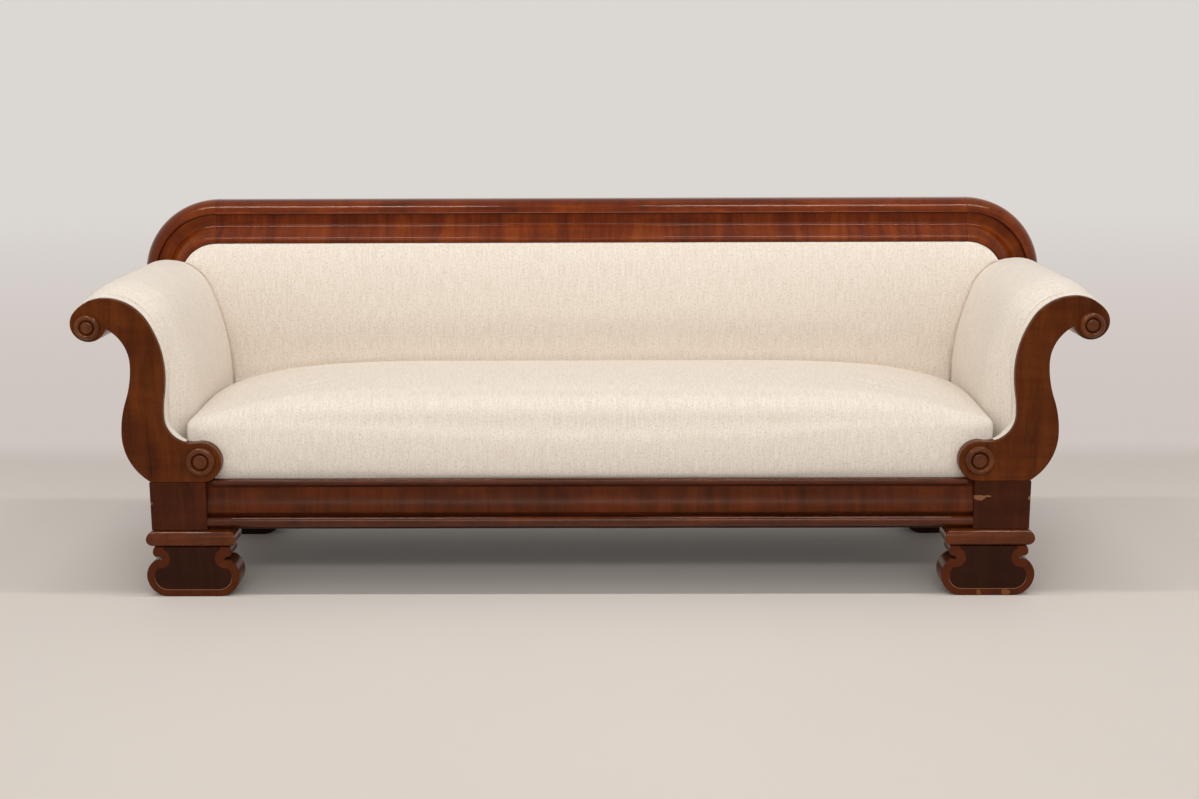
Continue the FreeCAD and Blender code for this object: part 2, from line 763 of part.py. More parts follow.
back_straps = []
strap_y = frame_y - dim("strap_thickness")
for column in SPRING_COLUMNS:
    middle = dim("spring_pitch") * column
    back_straps.append(add_box(f"back_strap_{column + 3}", (middle - half_strap, middle + half_strap),
                               (strap_y, frame_y), (low_rail_z, crest_z)))
back_strap_z = (low_rail_z + crest_z + dim("back_rail_height")) / 2
back_straps.append(add_box("back_strap_long", (-stile_span[1], stile_span[1]),
                           (strap_y - dim("strap_thickness"), strap_y),
                           (back_strap_z - half_strap, back_strap_z + half_strap)))
keep(group("back_straps", back_straps), "back_webbing")

dust_x = foot_x - dim("lobe_half_width")
dust_z = (strap_z - dim("dust_cover_thickness"), strap_z)
dust_y = (rail_y + dim("dust_cover_setback"), rear_y - dim("dust_cover_setback"))
keep(add_box("dust_sheet", (-dust_x, dust_x), dust_y, dust_z), "dust_cover")

seat_end_x = belly_in[0] - dim("arm_pad_thickness") - dim("soft_gap")
deck_x = seat_end_x - dim("seat_skirt")
deck_z = (seat_deck, seat_deck + dim("deck_thickness"))
deck_y = (skirt_y + dim("soft_gap"), seat_rear_y)
keep(add_box("spring_deck", (-deck_x, deck_x), deck_y, deck_z), "spring_deck")


def keep_shape(name, shape):
    feature = doc.addObject("Part::Feature", name)
    feature.Shape = shape
    return keep(feature, name)


def spring_shape():
    """Hourglass coil envelope of twelve flat sides, standing on the webbing."""
    levels = (brace_z.number, (brace_z.number + seat_deck.number) / 2, seat_deck.number)
    rounds = (sheet.get("spring_round"), sheet.get("spring_waist"), sheet.get("spring_round"))
    hoops = []
    for level, radius in zip(levels, rounds):
        angles = [math.radians(30 * step) for step in range(12)]
        hoops.append([Vector(radius * math.cos(a), radius * math.sin(a), level) for a in angles])
    faces = [Part.Face(Part.makePolygon(hoop + hoop[:1])) for hoop in (hoops[0], hoops[2])]
    for low, high in zip(hoops, hoops[1:]):
        for side in range(12):
            corners = [low[side - 1], low[side], high[side], high[side - 1], low[side - 1]]
            faces.append(Part.Face(Part.makePolygon(corners)))
    return Part.Solid(Part.Shell(faces))


spring = spring_shape()
coils = []
for column in SPRING_COLUMNS:
    for row in SPRING_ROWS:
        x = dim("spring_pitch") * column
        y = spring_y + dim("spring_row_pitch") * row
        coils.append(spring.translated(Vector(x.number, y.number, 0)))
keep_shape("seat_springs", Part.makeCompound(coils))


# Upholstery: lofts through sections of lines and arcs
def section_wire(outline, to_space):
    edges = []
    for curve in outline_edges(outline):
        edge = curve.toShape()
        edge.transformShape(to_space)
        edges.append(edge)
    return Part.Wire(edges)


def across_at(x):
    """Stands a Y-Z section at x."""
    return FreeCAD.Matrix(0, 0, 1, x, 1, 0, 0, 0, 0, 1, 0, 0, 0, 0, 0, 1)


def facing_at(y):
    """Stands an X-Z section at y."""
    return FreeCAD.Matrix(1, 0, 0, 0, 0, 0, -1, y, 0, 1, 0, 0, 0, 0, 0, 1)


def arm_section(fullness, grow):
    """Hook-shaped section of the arm pad; fullness draws it in towards the scroll board."""
    gap = dim("soft_gap")
    face_x = belly_in[0] - dim("arm_pad_thickness") * fullness - grow
    crown = (apex[0] - dim("arm_pad_apex_shift") * fullness, apex[1] + dim("arm_pad_crown") * fullness + grow)
    wrap = dim("volute_round") + dim("arm_pad_wrap") * fullness + grow
    straight_top = (face_x, block_z + dim("arm_pad_straight"))
    touch, over, meet, bend = crown_arcs(crown, dim("apex_round"), straight_top, volute, wrap)
    floor_z = block_z + gap
    inside = dim("roll_bar_round") + gap
    hook_turn = dim("volute_corner_turn") + 10
    over_bar = polar(volute, inside, 100)
    spring_point = (pad_back_x, over_bar[1] - dim("arm_pad_inner_rise"))
    inner = upright_radius(over_bar[0] - spring_point[0], dim("arm_pad_inner_rise"))
    return [straight((face_x, floor_z)), straight((pad_back_x, floor_z)), arc(spring_point, inner, -1),
            arc(over_bar, inside, -1), arc(polar(volute, inside, 10), inside, -1),
            arc(polar(volute, inside, 280), inside, -1), straight(polar(volute, inside, hook_turn)),
            arc(polar(volute, wrap, hook_turn), wrap, 1), arc(polar(volute, wrap, 300), wrap, 1),
            arc(touch, over, 1), arc(crown, dim("apex_round"), 1), arc(meet, bend, 1), straight(straight_top)]


def arm_pad_shape():
    front = (board_y + dim("soft_gap")).number
    rear = (post_y - dim("soft_gap")).number
    soft = sheet.get("arm_pad_round")
    stations = [(front, 0.2), (front + soft * 0.3, 0.68), (front + soft, 1.0), (rear, 1.0)]
    wires = [section_wire(arm_section(size(share), size(0)), facing_at(y)) for y, share in stations]
    return Part.makeLoft(wires, True, True)


def back_section(top, tuck):
    rear = strap_y - dim("strap_thickness") - dim("soft_gap")
    face = seat_rear_y + dim("soft_gap")
    crown = (face - dim("back_pad_crown") + tuck, dim("seat_crown") + dim("back_pad_crown_rise"))
    head = (post_y + dim("back_pad_top_tuck") + tuck, top)
    foot = (face + tuck, dim("seat_crown"))
    floor_z = block_z + dim("soft_gap")
    return [straight((rear, floor_z)), straight((rear, top)),
            arc(head, upright_radius(head[0] - crown[0], head[1] - crown[1]), 1),
            arc(crown, upright_radius(foot[0] - crown[0], crown[1] - foot[1]), 1),
            straight(foot), straight((foot[0], floor_z))]


def back_pad_shape():
    """Full-width crowned pad, cut round both arm pads and under the crest corners."""
    top = crest_z - dim("soft_gap")
    inner_round = corner_drop.number - sheet.get("crest_height") - sheet.get("curved_soft_gap")
    side_tuck = sheet.get("back_pad_side_tuck")
    stations = []
    for share in (0, 0.4, 0.7, 0.88):
        drop = inner_round * (1 - math.sqrt(1 - share ** 2))
        stations.append((corner_x.number + inner_round * share, top - drop, size(side_tuck * share ** 2)))
    wires = [section_wire(back_section(level, tuck), across_at(-x)) for x, level, tuck in reversed(stations)]
    wires += [section_wire(back_section(level, tuck), across_at(x)) for x, level, tuck in stations]
    pad = Part.makeLoft(wires, True, True)
    clear = arm_section(size(1), dim("curved_soft_gap"))
    floor, touch = clear[0][0], clear[9][0]
    envelope = [clear[0], straight((volute[0], floor[1])), straight((volute[0], touch[1]))] + clear[9:]
    depth = dim("overall_depth").number
    tool = Part.Face(section_wire(envelope, facing_at(-depth))).extrude(Vector(0, depth * 2, 0))
    return pad.cut(tool).cut(tool.mirror(Vector(), Vector(1, 0, 0)))


def seat_section(top):
    floor_z = block_z + dim("soft_gap")
    edge = dim("seat_edge_round")
    rear = (seat_rear_y, top - dim("seat_rear_fall"))
    front = (seat_y + edge, top - dim("seat_rear_fall") / 2)
    sag = dim("seat_rear_fall").number
    chord = rear[0].number - front[0].number
    crown_radius = size((chord ** 2 / 4 + sag ** 2) / (2 * sag))
    return [straight((seat_rear_y, floor_z)), arc(rear, crown_radius, 1), arc(front, edge, 1),
            straight((seat_y, front[1] - edge)), straight((seat_y, floor_z))]


def seat_pad_shape():
    """Crowned seat with a front skirt, hollow below for the springs and the deck."""
    half = seat_end_x.number
    drop = sheet.get("seat_end_drop")
    stations = [0.5, 0.75, 0.87, 0.95, 1.0]
    levels = [(half * share, dim("seat_crown") - drop * share ** 6) for share in stations]
    wires = [section_wire(seat_section(level), across_at(-x)) for x, level in reversed(levels)]
    wires += [section_wire(seat_section(level), across_at(x)) for x, level in levels]
    pad = Part.makeLoft(wires, True, True)
    gap = sheet.get("soft_gap")
    floor = block_z.number
    hollow_x = deck_x.number + gap
    hollow_y = deck_y[0].number - gap
    height = deck_z[1].number + gap - floor
    length = seat_rear_y.number + gap - hollow_y
    box = Part.makeBox(hollow_x * 2, length, height, Vector(-hollow_x, hollow_y, floor))
    return pad.cut(box)


doc.recompute()
right_pad = keep_shape("arm_pad_right", arm_pad_shape())
keep(mirrored("arm_pad_mirror", right_pad), "arm_pad_left")
keep_shape("back_pad", back_pad_shape())
keep_shape("seat_pad", seat_pad_shape())

# Check and write every sub-part
doc.recompute()
for item in doc.Objects:
    if "Invalid" in item.State or "Error" in item.State:
        raise RuntimeError(f"{item.Label} did not build")
os.makedirs("parts", exist_ok=True)
for piece in parts:
    if piece.Shape.isNull() or not piece.Shape.isValid():
        raise RuntimeError(f"{piece.Label} has no valid shape")
    piece.Shape.exportStep(f"parts/{piece.Label}.step")
print(len(parts), "sub-parts written")
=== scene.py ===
import math
import bmesh
import bpy
import numpy as np
from mathutils import Matrix, Vector, noise
from mathutils.geometry import delaunay_2d_cdt


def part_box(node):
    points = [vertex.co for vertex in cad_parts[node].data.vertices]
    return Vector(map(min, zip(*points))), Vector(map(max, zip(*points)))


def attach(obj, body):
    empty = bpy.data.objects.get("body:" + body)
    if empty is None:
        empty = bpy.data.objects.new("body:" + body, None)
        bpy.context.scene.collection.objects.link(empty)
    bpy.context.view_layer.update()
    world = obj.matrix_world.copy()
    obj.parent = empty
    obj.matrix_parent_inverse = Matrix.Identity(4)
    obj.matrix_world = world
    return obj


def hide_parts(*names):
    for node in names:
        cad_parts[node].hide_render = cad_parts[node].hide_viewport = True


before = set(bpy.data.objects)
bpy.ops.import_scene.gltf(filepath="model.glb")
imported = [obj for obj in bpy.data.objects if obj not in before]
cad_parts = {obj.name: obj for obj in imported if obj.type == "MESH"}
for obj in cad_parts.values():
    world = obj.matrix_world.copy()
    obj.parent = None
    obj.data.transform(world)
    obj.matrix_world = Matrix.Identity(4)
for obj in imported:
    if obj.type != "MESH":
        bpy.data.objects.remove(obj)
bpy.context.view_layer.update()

# Sizes of the construction model in millimetres: +X right, +Y rear, soles at Z = 0
MM = 0.001
BASE_X = 957.0
BLOCK_X = 835.0
FOOT_X = 871.0
FRONT_Y = -274.0
BOARD_Y = -246.0
BLOCK_Y = -216.0
RAIL_Y = -256.0
POST_Y = 207.0
FRAME_Y = 244.0
REAR_Y = 284.0
BASE_Z = 150.0
BLOCK_Z = 258.0
FOOT_TOP_Z = 112.5
TOP_Z = 823.0
CORNER_X = 900.0
CORNER_Z = 640.0
CREST_LOW_Z = 723.0
VOLUTE = (1068.5, 606.0)
VOLUTE_ROUND = 38.5
VOLUTE_CORNER = 195.0
APEX = (1033.0, 661.5)
APEX_ROUND = 105.0
WAIST_IN = (911.0, 497.0)
WAIST_OUT = (984.0, 517.0)
BELLY_IN = (919.0, 403.0)
BELLY_OUT = (1011.0, 362.0)
TOE = (953.0, 258.0)
BOSS = (842.0, 302.0)
BOSS_ROUND = 44.0
SEAT_END_X = 872.6
SEAT_FRONT_Y = -245.0
SEAT_REAR_Y = 211.0
SEAT_CROWN_Z = 446.0
CREST_INNER_ROUND = 81.8
GAP = 0.4
SIDES = {"left": -1, "right": 1}


# Plane geometry
def along(start, end, share):
    """Point at a share of the way from start to end."""
    return (start[0] + (end[0] - start[0]) * share, start[1] + (end[1] - start[1]) * share)


def polar(centre, radius, degrees):
    """Point at a radius and angle from a centre."""
    turn = math.radians(degrees)
    return (centre[0] + radius * math.cos(turn), centre[1] + radius * math.sin(turn))


def upright_radius(across, rise):
    """Radius of the arc that leaves one end upright and reaches the other across and up."""
    return (across ** 2 + rise ** 2) / (2 * across)


def cyma(upper, lower):
    """Middle of a double curve that leaves both ends upright, and the radius of its arcs."""
    radius = upright_radius(upper[0] - lower[0], upper[1] - lower[1]) / 2
    return along(upper, lower, 0.5), radius


def arc_points(start, end, radius, turn, count):
    """Points from start up to, not with, end along a minor arc that curves left for turn +1."""
    start, end = np.array(start, float), np.array(end, float)
    if radius is None:
        shares = np.arange(count)[:, None] / count
        return start + (end - start) * shares
    chord = end - start
    length = np.hypot(*chord)
    reach = math.sqrt(max(radius ** 2 - length ** 2 / 4, 0))
    centre = (start + end) / 2 + np.array([-chord[1], chord[0]]) / length * reach * turn
    first = math.atan2(*(start - centre)[::-1])
    sweep = 2 * math.asin(min(1, length / 2 / radius)) * turn
    turns = first + sweep * np.arange(count) / count
    return centre + radius * np.stack([np.cos(turns), np.sin(turns)], 1)


def trace(outline, step=None, counts=None):
    """Closed polyline of an outline of (point, radius, turn); radius None is a straight side."""
    runs = []
    for index, (point, radius, turn) in enumerate(outline):
        target = outline[(index + 1) % len(outline)][0]
        if counts:
            count = counts[index]
        else:
            length = math.dist(point, target)
            count = max(1 if radius is None else 4, math.ceil(length / step))
        runs.append(arc_points(point, target, radius, turn, count))
    return np.concatenate(runs)


def mirror(points):
    """The outline on the other side of the middle plane, still running anticlockwise."""
    return (points * [-1, 1])[::-1]


def soften(points, spacing, passes):
    """Evenly spaced closed polyline with its corners eased."""
    closed = np.vstack([points, points[:1]])
    lengths = np.concatenate([[0], np.cumsum(np.linalg.norm(np.diff(closed, axis=0), axis=1))])
    count = int(lengths[-1] / spacing)
    places = np.arange(count) * lengths[-1] / count
    even = np.stack([np.interp(places, lengths, closed[:, axis]) for axis in (0, 1)], 1)
    for _ in range(passes):
        even = even / 2 + (np.roll(even, 1, 0) + np.roll(even, -1, 0)) / 4
    return even


def inset(points, distance):
    """The anticlockwise outline moved inwards by distance."""
    ahead = np.roll(points, -1, 0) - points
    ahead /= np.linalg.norm(ahead, axis=1)[:, None]
    both = ahead + np.roll(ahead, 1, 0)
    normal = np.stack([-both[:, 1], both[:, 0]], 1)
    normal /= np.maximum(np.linalg.norm(normal, axis=1), 1e-9)[:, None]
    lean = (normal * np.stack([-ahead[:, 1], ahead[:, 0]], 1)).sum(1)
    return points + normal * (distance / np.clip(lean, 0.6, 1))[:, None]


def edge_distance(points, starts, ends):
    """Distance of each point from the nearest of the given straight edges."""
    best = np.full(len(points), 1e9)
    for start, end in zip(starts, ends):
        edge = end - start
        share = np.clip(((points - start) @ edge) / max(edge @ edge, 1e-12), 0, 1)
        best = np.minimum(best, np.linalg.norm(points - start - share[:, None] * edge, axis=1))
    return best


def inside(points, outline):
    """Which points lie within the outline."""
    hit = np.zeros(len(points), bool)
    for (x0, z0), (x1, z1) in zip(outline, np.roll(outline, -1, 0)):
        if z0 == z1:
            continue
        spans = (points[:, 1] > min(z0, z1)) & (points[:, 1] <= max(z0, z1))
        cross = x0 + (points[:, 1] - z0) * (x1 - x0) / (z1 - z0)
        hit ^= spans & (points[:, 0] < cross)
    return hit


# Meshes
def make_mesh(name, vertices, faces, corner_uv, attributes=None, sharp=38):
    """A smooth mesh from vertices in millimetres, with its texture places as the map called grain."""
    mesh = bpy.data.meshes.new(name)
    mesh.from_pydata((np.asarray(vertices) * MM).tolist(), [], faces)
    layer = mesh.uv_layers.new(name="grain")
    layer.data.foreach_set("uv", (np.asarray(corner_uv, np.float32) * MM).ravel())
    for label, values in (attributes or {}).items():
        made = mesh.attributes.new(label, "FLOAT", "POINT")
        made.data.foreach_set("value", np.asarray(values, np.float32))
    shell = bmesh.new()
    shell.from_mesh(mesh)
    bmesh.ops.recalc_face_normals(shell, faces=shell.faces)
    shell.to_mesh(mesh)
    shell.free()
    mesh.shade_smooth()
    mesh.set_sharp_from_angle(angle=math.radians(sharp))
    return mesh


def make_piece(name, vertices, faces, corner_uv, material, slot, nodes, attributes=None, sharp=38):
    """A mesh piece of the sofa that stands for the given CAD nodes."""
    mesh = make_mesh(name, vertices, faces, corner_uv, attributes, sharp)
    mesh.materials.append(material)
    piece = bpy.data.objects.new(name, mesh)
    bpy.context.scene.collection.objects.link(piece)
    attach(piece, "root")
    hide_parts(*nodes)
    return piece


def skin(rings, uv):
    """Faces and corner places of a skin through rings of equal size, with a flat cap at each end."""
    count, size = rings.shape[:2]
    faces, corners = [], []
    for ring in range(count - 1):
        for k in range(size):
            after = (k + 1) % size
            low, high = ring * size, (ring + 1) * size
            faces.append((low + k, low + after, high + after, high + k))
            corners += [uv[ring, k], uv[ring, k + 1], uv[ring + 1, k + 1], uv[ring + 1, k]]
    for ring in (0, count - 1):
        faces.append(tuple(ring * size + k for k in range(size)))
        corners += [uv[ring, k] for k in range(size)]
    return faces, corners


def gather(parts):
    """One mesh of several skins, each given as rings and texture places."""
    vertices, faces, corners, start = [], [], [], 0
    for rings, uv in parts:
        own_faces, own_corners = skin(rings, uv)
        faces += [tuple(start + k for k in face) for face in own_faces]
        corners += own_corners
        vertices.append(rings.reshape(-1, 3))
        start += len(vertices[-1])
    return np.vstack(vertices), faces, corners


def lengths_along(points):
    """Length of a polyline up to each of its points."""
    return np.concatenate([[0], np.cumsum(np.linalg.norm(np.diff(points, axis=0), axis=1))])


def ring_uv(rings, across=False, shift=(0, 0)):
    """Texture places of rings: first coordinate along the grain, second across it."""
    path = lengths_along(rings.mean(1))
    widest = rings[len(rings) // 2]
    girth = lengths_along(np.vstack([widest, widest[:1]]))
    first, second = np.meshgrid(path, girth, indexing="ij")
    pair = (second, first) if across else (first, second)
    return np.stack(pair, -1) + np.asarray(shift, float)


def looped(rings):
    """Rings with their first point repeated at the end."""
    return np.concatenate([rings, rings[:, :1]], 1)


def upright_uv(rings, shift):
    """Texture places with the grain upright."""
    points = looped(rings)
    return np.stack([points[..., 2] + shift, points[..., 0] + points[..., 1] + shift], -1)


def level_uv(rings, shift):
    """Texture places with the grain along X."""
    points = looped(rings)
    return np.stack([points[..., 0] + shift, points[..., 2] + points[..., 1] + shift], -1)


def along_y(rings):
    """Texture places of rings set along Y: depth first, girth second."""
    points = looped(rings)
    girth = lengths_along(points[-1])
    return np.stack([points[..., 1], np.broadcast_to(girth, points.shape[:2])], -1)


def at_depth(section, y):
    """Points of an X-Z section set at one depth."""
    return np.column_stack([section[:, 0], np.full(len(section), y), section[:, 1]])


def loft(name, rings, material, slot, nodes, uv, sharp=38):
    """A piece with one skin through its rings."""
    faces, corners = skin(rings, uv)
    return make_piece(name, rings.reshape(-1, 3), faces, corners, material, slot, nodes, sharp=sharp)


def eased_ends(section, places, ease):
    """Pairs of section and place along a run, drawn in a little at both ends."""
    steps = [(ease, 0), (ease * 0.3, ease * 0.3), (0, ease), (0, ease * 4)]
    pairs = [(inset(section, draw), places[0] + move) for draw, move in steps]
    pairs += [(section, place) for place in places[1:-1]]
    return pairs + [(inset(section, draw), places[-1] - move) for draw, move in steps[::-1]]


def run_rings(section, left, right, ease=0.5):
    """Rings of a Y-Z section run along X."""
    return np.stack([np.column_stack([np.full(len(ring), x), ring]) for ring, x in
                     eased_ends(section, (left, right), ease)])


def board_rings(outline, front, rear, ease, margin):
    """Rings of an X-Z outline from front to rear with eased edges and flat margins on both faces."""
    steps = [(ease + extra, 0) for extra in margin]
    steps += [(ease * (1 - math.sin(turn)), ease * (1 - math.cos(turn)))
              for turn in np.radians([0, 22.5, 45, 67.5, 90])]
    steps.append((0, ease * 2))
    pairs = [(draw, front + move) for draw, move in steps]
    pairs += [(draw, rear - move) for draw, move in steps[::-1]]
    return np.stack([at_depth(inset(outline, draw), y) for draw, y in pairs])


BOARD_MARGIN = (8, 3, 1)


def board(name, outline, front, rear, material, slot, nodes, ease, shift):
    """Board across the sofa with upright grain."""
    rings = board_rings(outline, front, rear, ease, BOARD_MARGIN)
    return loft(name, rings, material, slot, nodes, upright_uv(rings, shift))


# Node materials
class Nodes:
    """Short calls for the nodes of one tree."""

    def __init__(self, tree):
        self.tree = tree

    def find(self, kind):
        return next(n for n in self.tree.nodes if n.type == kind)

    def feed(self, socket, value):
        """Links a socket to another, or sets its value."""
        if isinstance(value, bpy.types.NodeSocket):
            self.tree.links.new(value, socket)
        else:
            socket.default_value = value

    def node(self, kind, output=0, values=None, **settings):
        made = self.tree.nodes.new(kind)
        for label, setting in settings.items():
            setattr(made, label, setting)
        for place, value in (values or {}).items():
            self.feed(made.inputs[place], value)
        return made.outputs[output]

    def math(self, operation, first, second=0.0):
        return self.node("ShaderNodeMath", 0, {0: first, 1: second}, operation=operation)

    def add(self, first, second):
        return self.math("ADD", first, second)

    def less(self, first, second):
        return self.math("SUBTRACT", first, second)

    def times(self, first, second):
        return self.math("MULTIPLY", first, second)

    def swing(self, value, size):
        """Departure of a value from one half, times size."""
        return self.times(self.less(value, 0.5), size)

    def split(self, vector):
        """The three parts of a vector."""
        made = self.tree.nodes.new("ShaderNodeSeparateXYZ")
        self.feed(made.inputs[0], vector)
        return list(made.outputs)

    def place(self):
        """Coordinates in the sofa's frame."""
        return self.node("ShaderNodeTexCoord", 3)

    def grain(self):
        """The piece's own map, in metres."""
        return self.node("ShaderNodeUVMap", 0, uv_map="grain")

    def moved(self, vector, offset):
        return self.node("ShaderNodeVectorMath", 0, {0: vector, 1: offset}, operation="ADD")

    def noise(self, vector, scale, detail=2.0, roughness=0.5, distortion=0.0):
        scaled = self.node("ShaderNodeVectorMath", 0, {0: vector, 1: scale}, operation="MULTIPLY")
        values = {"Vector": scaled, "Scale": 1.0, "Detail": detail, "Roughness": roughness,
                  "Distortion": distortion}
        return self.node("ShaderNodeTexNoise", 0, values)

    def span(self, value, low, high, to_low=0.0, to_high=1.0, shape="SMOOTHSTEP"):
        """Value carried from one range to another and kept within it."""
        values = {"Value": value, "From Min": low, "From Max": high, "To Min": to_low, "To Max": to_high}
        return self.node("ShaderNodeMapRange", 0, values, interpolation_type=shape)

    def seen(self):
        """1 for rays that show the background: from the camera, mirrored or through glass."""
        rays = self.tree.nodes.new("ShaderNodeLightPath").outputs
        straight = self.math("MAXIMUM", rays["Is Camera Ray"], rays["Is Glossy Ray"])
        return self.math("MAXIMUM", straight, rays["Is Transmission Ray"])


class Graph(Nodes):
    """A material with one main shader."""

    def __init__(self, name):
        self.material = bpy.data.materials.new(name)
        self.material.use_nodes = True
        super().__init__(self.material.node_tree)
        self.shader = self.find("BSDF_PRINCIPLED")

    def ramp(self, factor, stops):
        """Colour by a factor, from pairs of place and colour."""
        made = self.tree.nodes.new("ShaderNodeValToRGB")
        points = made.color_ramp.elements
        while len(points) < len(stops):
            points.new(1.0)
        for point, (place, colour) in zip(points, stops):
            point.position = place
            point.color = (*colour, 1)
        self.feed(made.inputs[0], factor)
        return made.outputs[0]

    def mix(self, factor, first, second):
        """Blend of two colours."""
        made = self.tree.nodes.new("ShaderNodeMix")
        made.data_type = "RGBA"
        self.feed(made.inputs["Factor"], factor)
        colours = [s for s in made.inputs if s.type == "RGBA"]
        for socket, value in zip(colours, (first, second)):
            self.feed(socket, value if isinstance(value, bpy.types.NodeSocket) else (*value, 1))
        return next(s for s in made.outputs if s.type == "RGBA")

    def bump(self, height, strength, distance, normal=None):
        values = {"Height": height, "Strength": strength, "Distance": distance}
        if normal is not None:
            values["Normal"] = normal
        return self.node("ShaderNodeBump", 0, values)

    def finish(self, **sockets):
        """Feeds the shader's sockets, named with underscores, and gives the material."""
        for label, value in sockets.items():
            self.feed(self.shader.inputs[label.replace("_", " ")], value)
        return self.material


def wood_places(graph, axis=None):
    """Grain coordinates: the piece's own map, or the sofa's frame turned so that axis comes first."""
    if axis is None:
        return graph.grain()
    place = graph.place()
    if axis == "x":
        return place
    parts = graph.split(place)
    order = {"y": (1, 0, 2), "z": (2, 0, 1)}[axis]
    return graph.node("ShaderNodeCombineXYZ", 0, {spot: parts[source] for spot, source in enumerate(order)})


POLISH_TINT = (1.0, 0.86, 0.74, 1.0)


def mahogany(name, dark, middle, light, gloss=0.13, shine=0.1, axis=None, veneer=None):
    """Polished mahogany: long figure, cross shimmer, fine grain and open pores."""
    graph = Graph(name)
    place = wood_places(graph, axis)
    sway = graph.noise(place, (3.0, 7.0, 7.0), 2)
    bend = graph.swing(sway, 0.05)
    bent = graph.moved(place, graph.node("ShaderNodeCombineXYZ", 0, {1: bend, 2: bend}))
    streak = graph.noise(bent, (3.2, 42.0, 42.0), 5, 0.6, 0.4)
    cloud = graph.noise(bent, (5.0, 9.0, 9.0), 3, 0.55, 0.6)
    shimmer = graph.noise(bent, (34.0, 5.0, 5.0), 3, 0.6)
    hair = graph.noise(bent, (24.0, 900.0, 900.0), 2)
    pore = graph.noise(bent, (110.0, 1500.0, 1500.0), 1)
    tone = graph.add(graph.times(streak, 0.55), graph.times(cloud, 0.45))
    tone = graph.add(tone, graph.swing(hair, 0.22))
    tone = graph.add(tone, graph.swing(shimmer, 0.3))
    colour = graph.ramp(tone, [(0.3, dark), (0.5, middle), (0.72, light)])
    pits = graph.span(pore, 0.6, 0.72)
    colour = graph.mix(graph.times(pits, 0.45), colour, [share * 0.35 for share in dark])
    if veneer:
        colour = veneer(graph, colour, tone)
    wear = graph.noise(place, (26.0, 26.0, 26.0), 4, 0.7)
    waves = graph.noise(place, (4.0, 4.0, 4.0), 2)
    rough = graph.span(wear, 0.35, 0.75, gloss, gloss + 0.1)
    level = graph.less(graph.times(hair, 0.25), graph.times(pits, 0.5))
    normal = graph.bump(waves, 0.035, 0.004)
    normal = graph.bump(level, 0.1, 0.0002, normal)
    return graph.finish(Base_Color=colour, Roughness=rough, Normal=normal, Specular_IOR_Level=shine,
                        Specular_Tint=POLISH_TINT)


def worn(graph, colour, places, bare):
    """Lighter chipped places in a front face: middle and half size of each in X and Z, in millimetres."""
    place = graph.place()
    place_x, _, place_z = graph.split(place)
    ragged = graph.noise(place, (160.0, 160.0, 160.0), 3, 0.6)
    for x, z, half_x, half_z in places:
        across = graph.math("DIVIDE", graph.less(place_x, x * MM), half_x * MM)
        up = graph.math("DIVIDE", graph.less(place_z, z * MM), half_z * MM)
        away = graph.add(graph.math("POWER", across, 2.0), graph.math("POWER", up, 2.0))
        away = graph.add(away, graph.swing(ragged, 2.2))
        colour = graph.mix(graph.times(graph.span(away, 1.0, 0.8), 0.8), colour, bare)
    return colour


def chipped(places, bare):
    """Paints chips on a wood's own colour."""
    def paint(graph, colour, tone):
        return worn(graph, colour, places, bare)
    return paint


def foot_veneer(field, band, line):
    """Dark field, lighter cross band along the outline and a thin line of stringing below the field."""
    def paint(graph, colour, tone):
        rim = graph.node("ShaderNodeAttribute", 2, attribute_name="rim")
        height = graph.split(graph.grain())[0]
        width = graph.span(height, 0.02, 0.06, 15.5, 18.5)
        reach = graph.less(rim, width)
        inner = graph.ramp(tone, [(0.3, [c * 0.6 for c in field]), (0.7, field)])
        outer = graph.ramp(tone, [(0.3, [c * 0.5 for c in band]), (0.7, band)])
        outer = worn(graph, outer, FOOT_WEAR, (0.2, 0.07, 0.025))
        colour = graph.mix(graph.span(reach, -0.3, 0.3), outer, inner)
        near = graph.math("ABSOLUTE", reach)
        string = graph.times(graph.span(near, 0.9, 0.45), graph.span(height, 0.05, 0.026))
        return graph.mix(graph.times(string, 0.75), colour, line)
    return paint


def weave(graph, across, up, yarn_mm):
    """Height of a plain weave with yarns of the given pitch."""
    turns = 2 * math.pi / (yarn_mm * MM)
    warp = graph.math("SINE", graph.times(across, turns))
    weft = graph.math("SINE", graph.times(up, turns))
    return graph.times(warp, weft)


YARN = 1.7


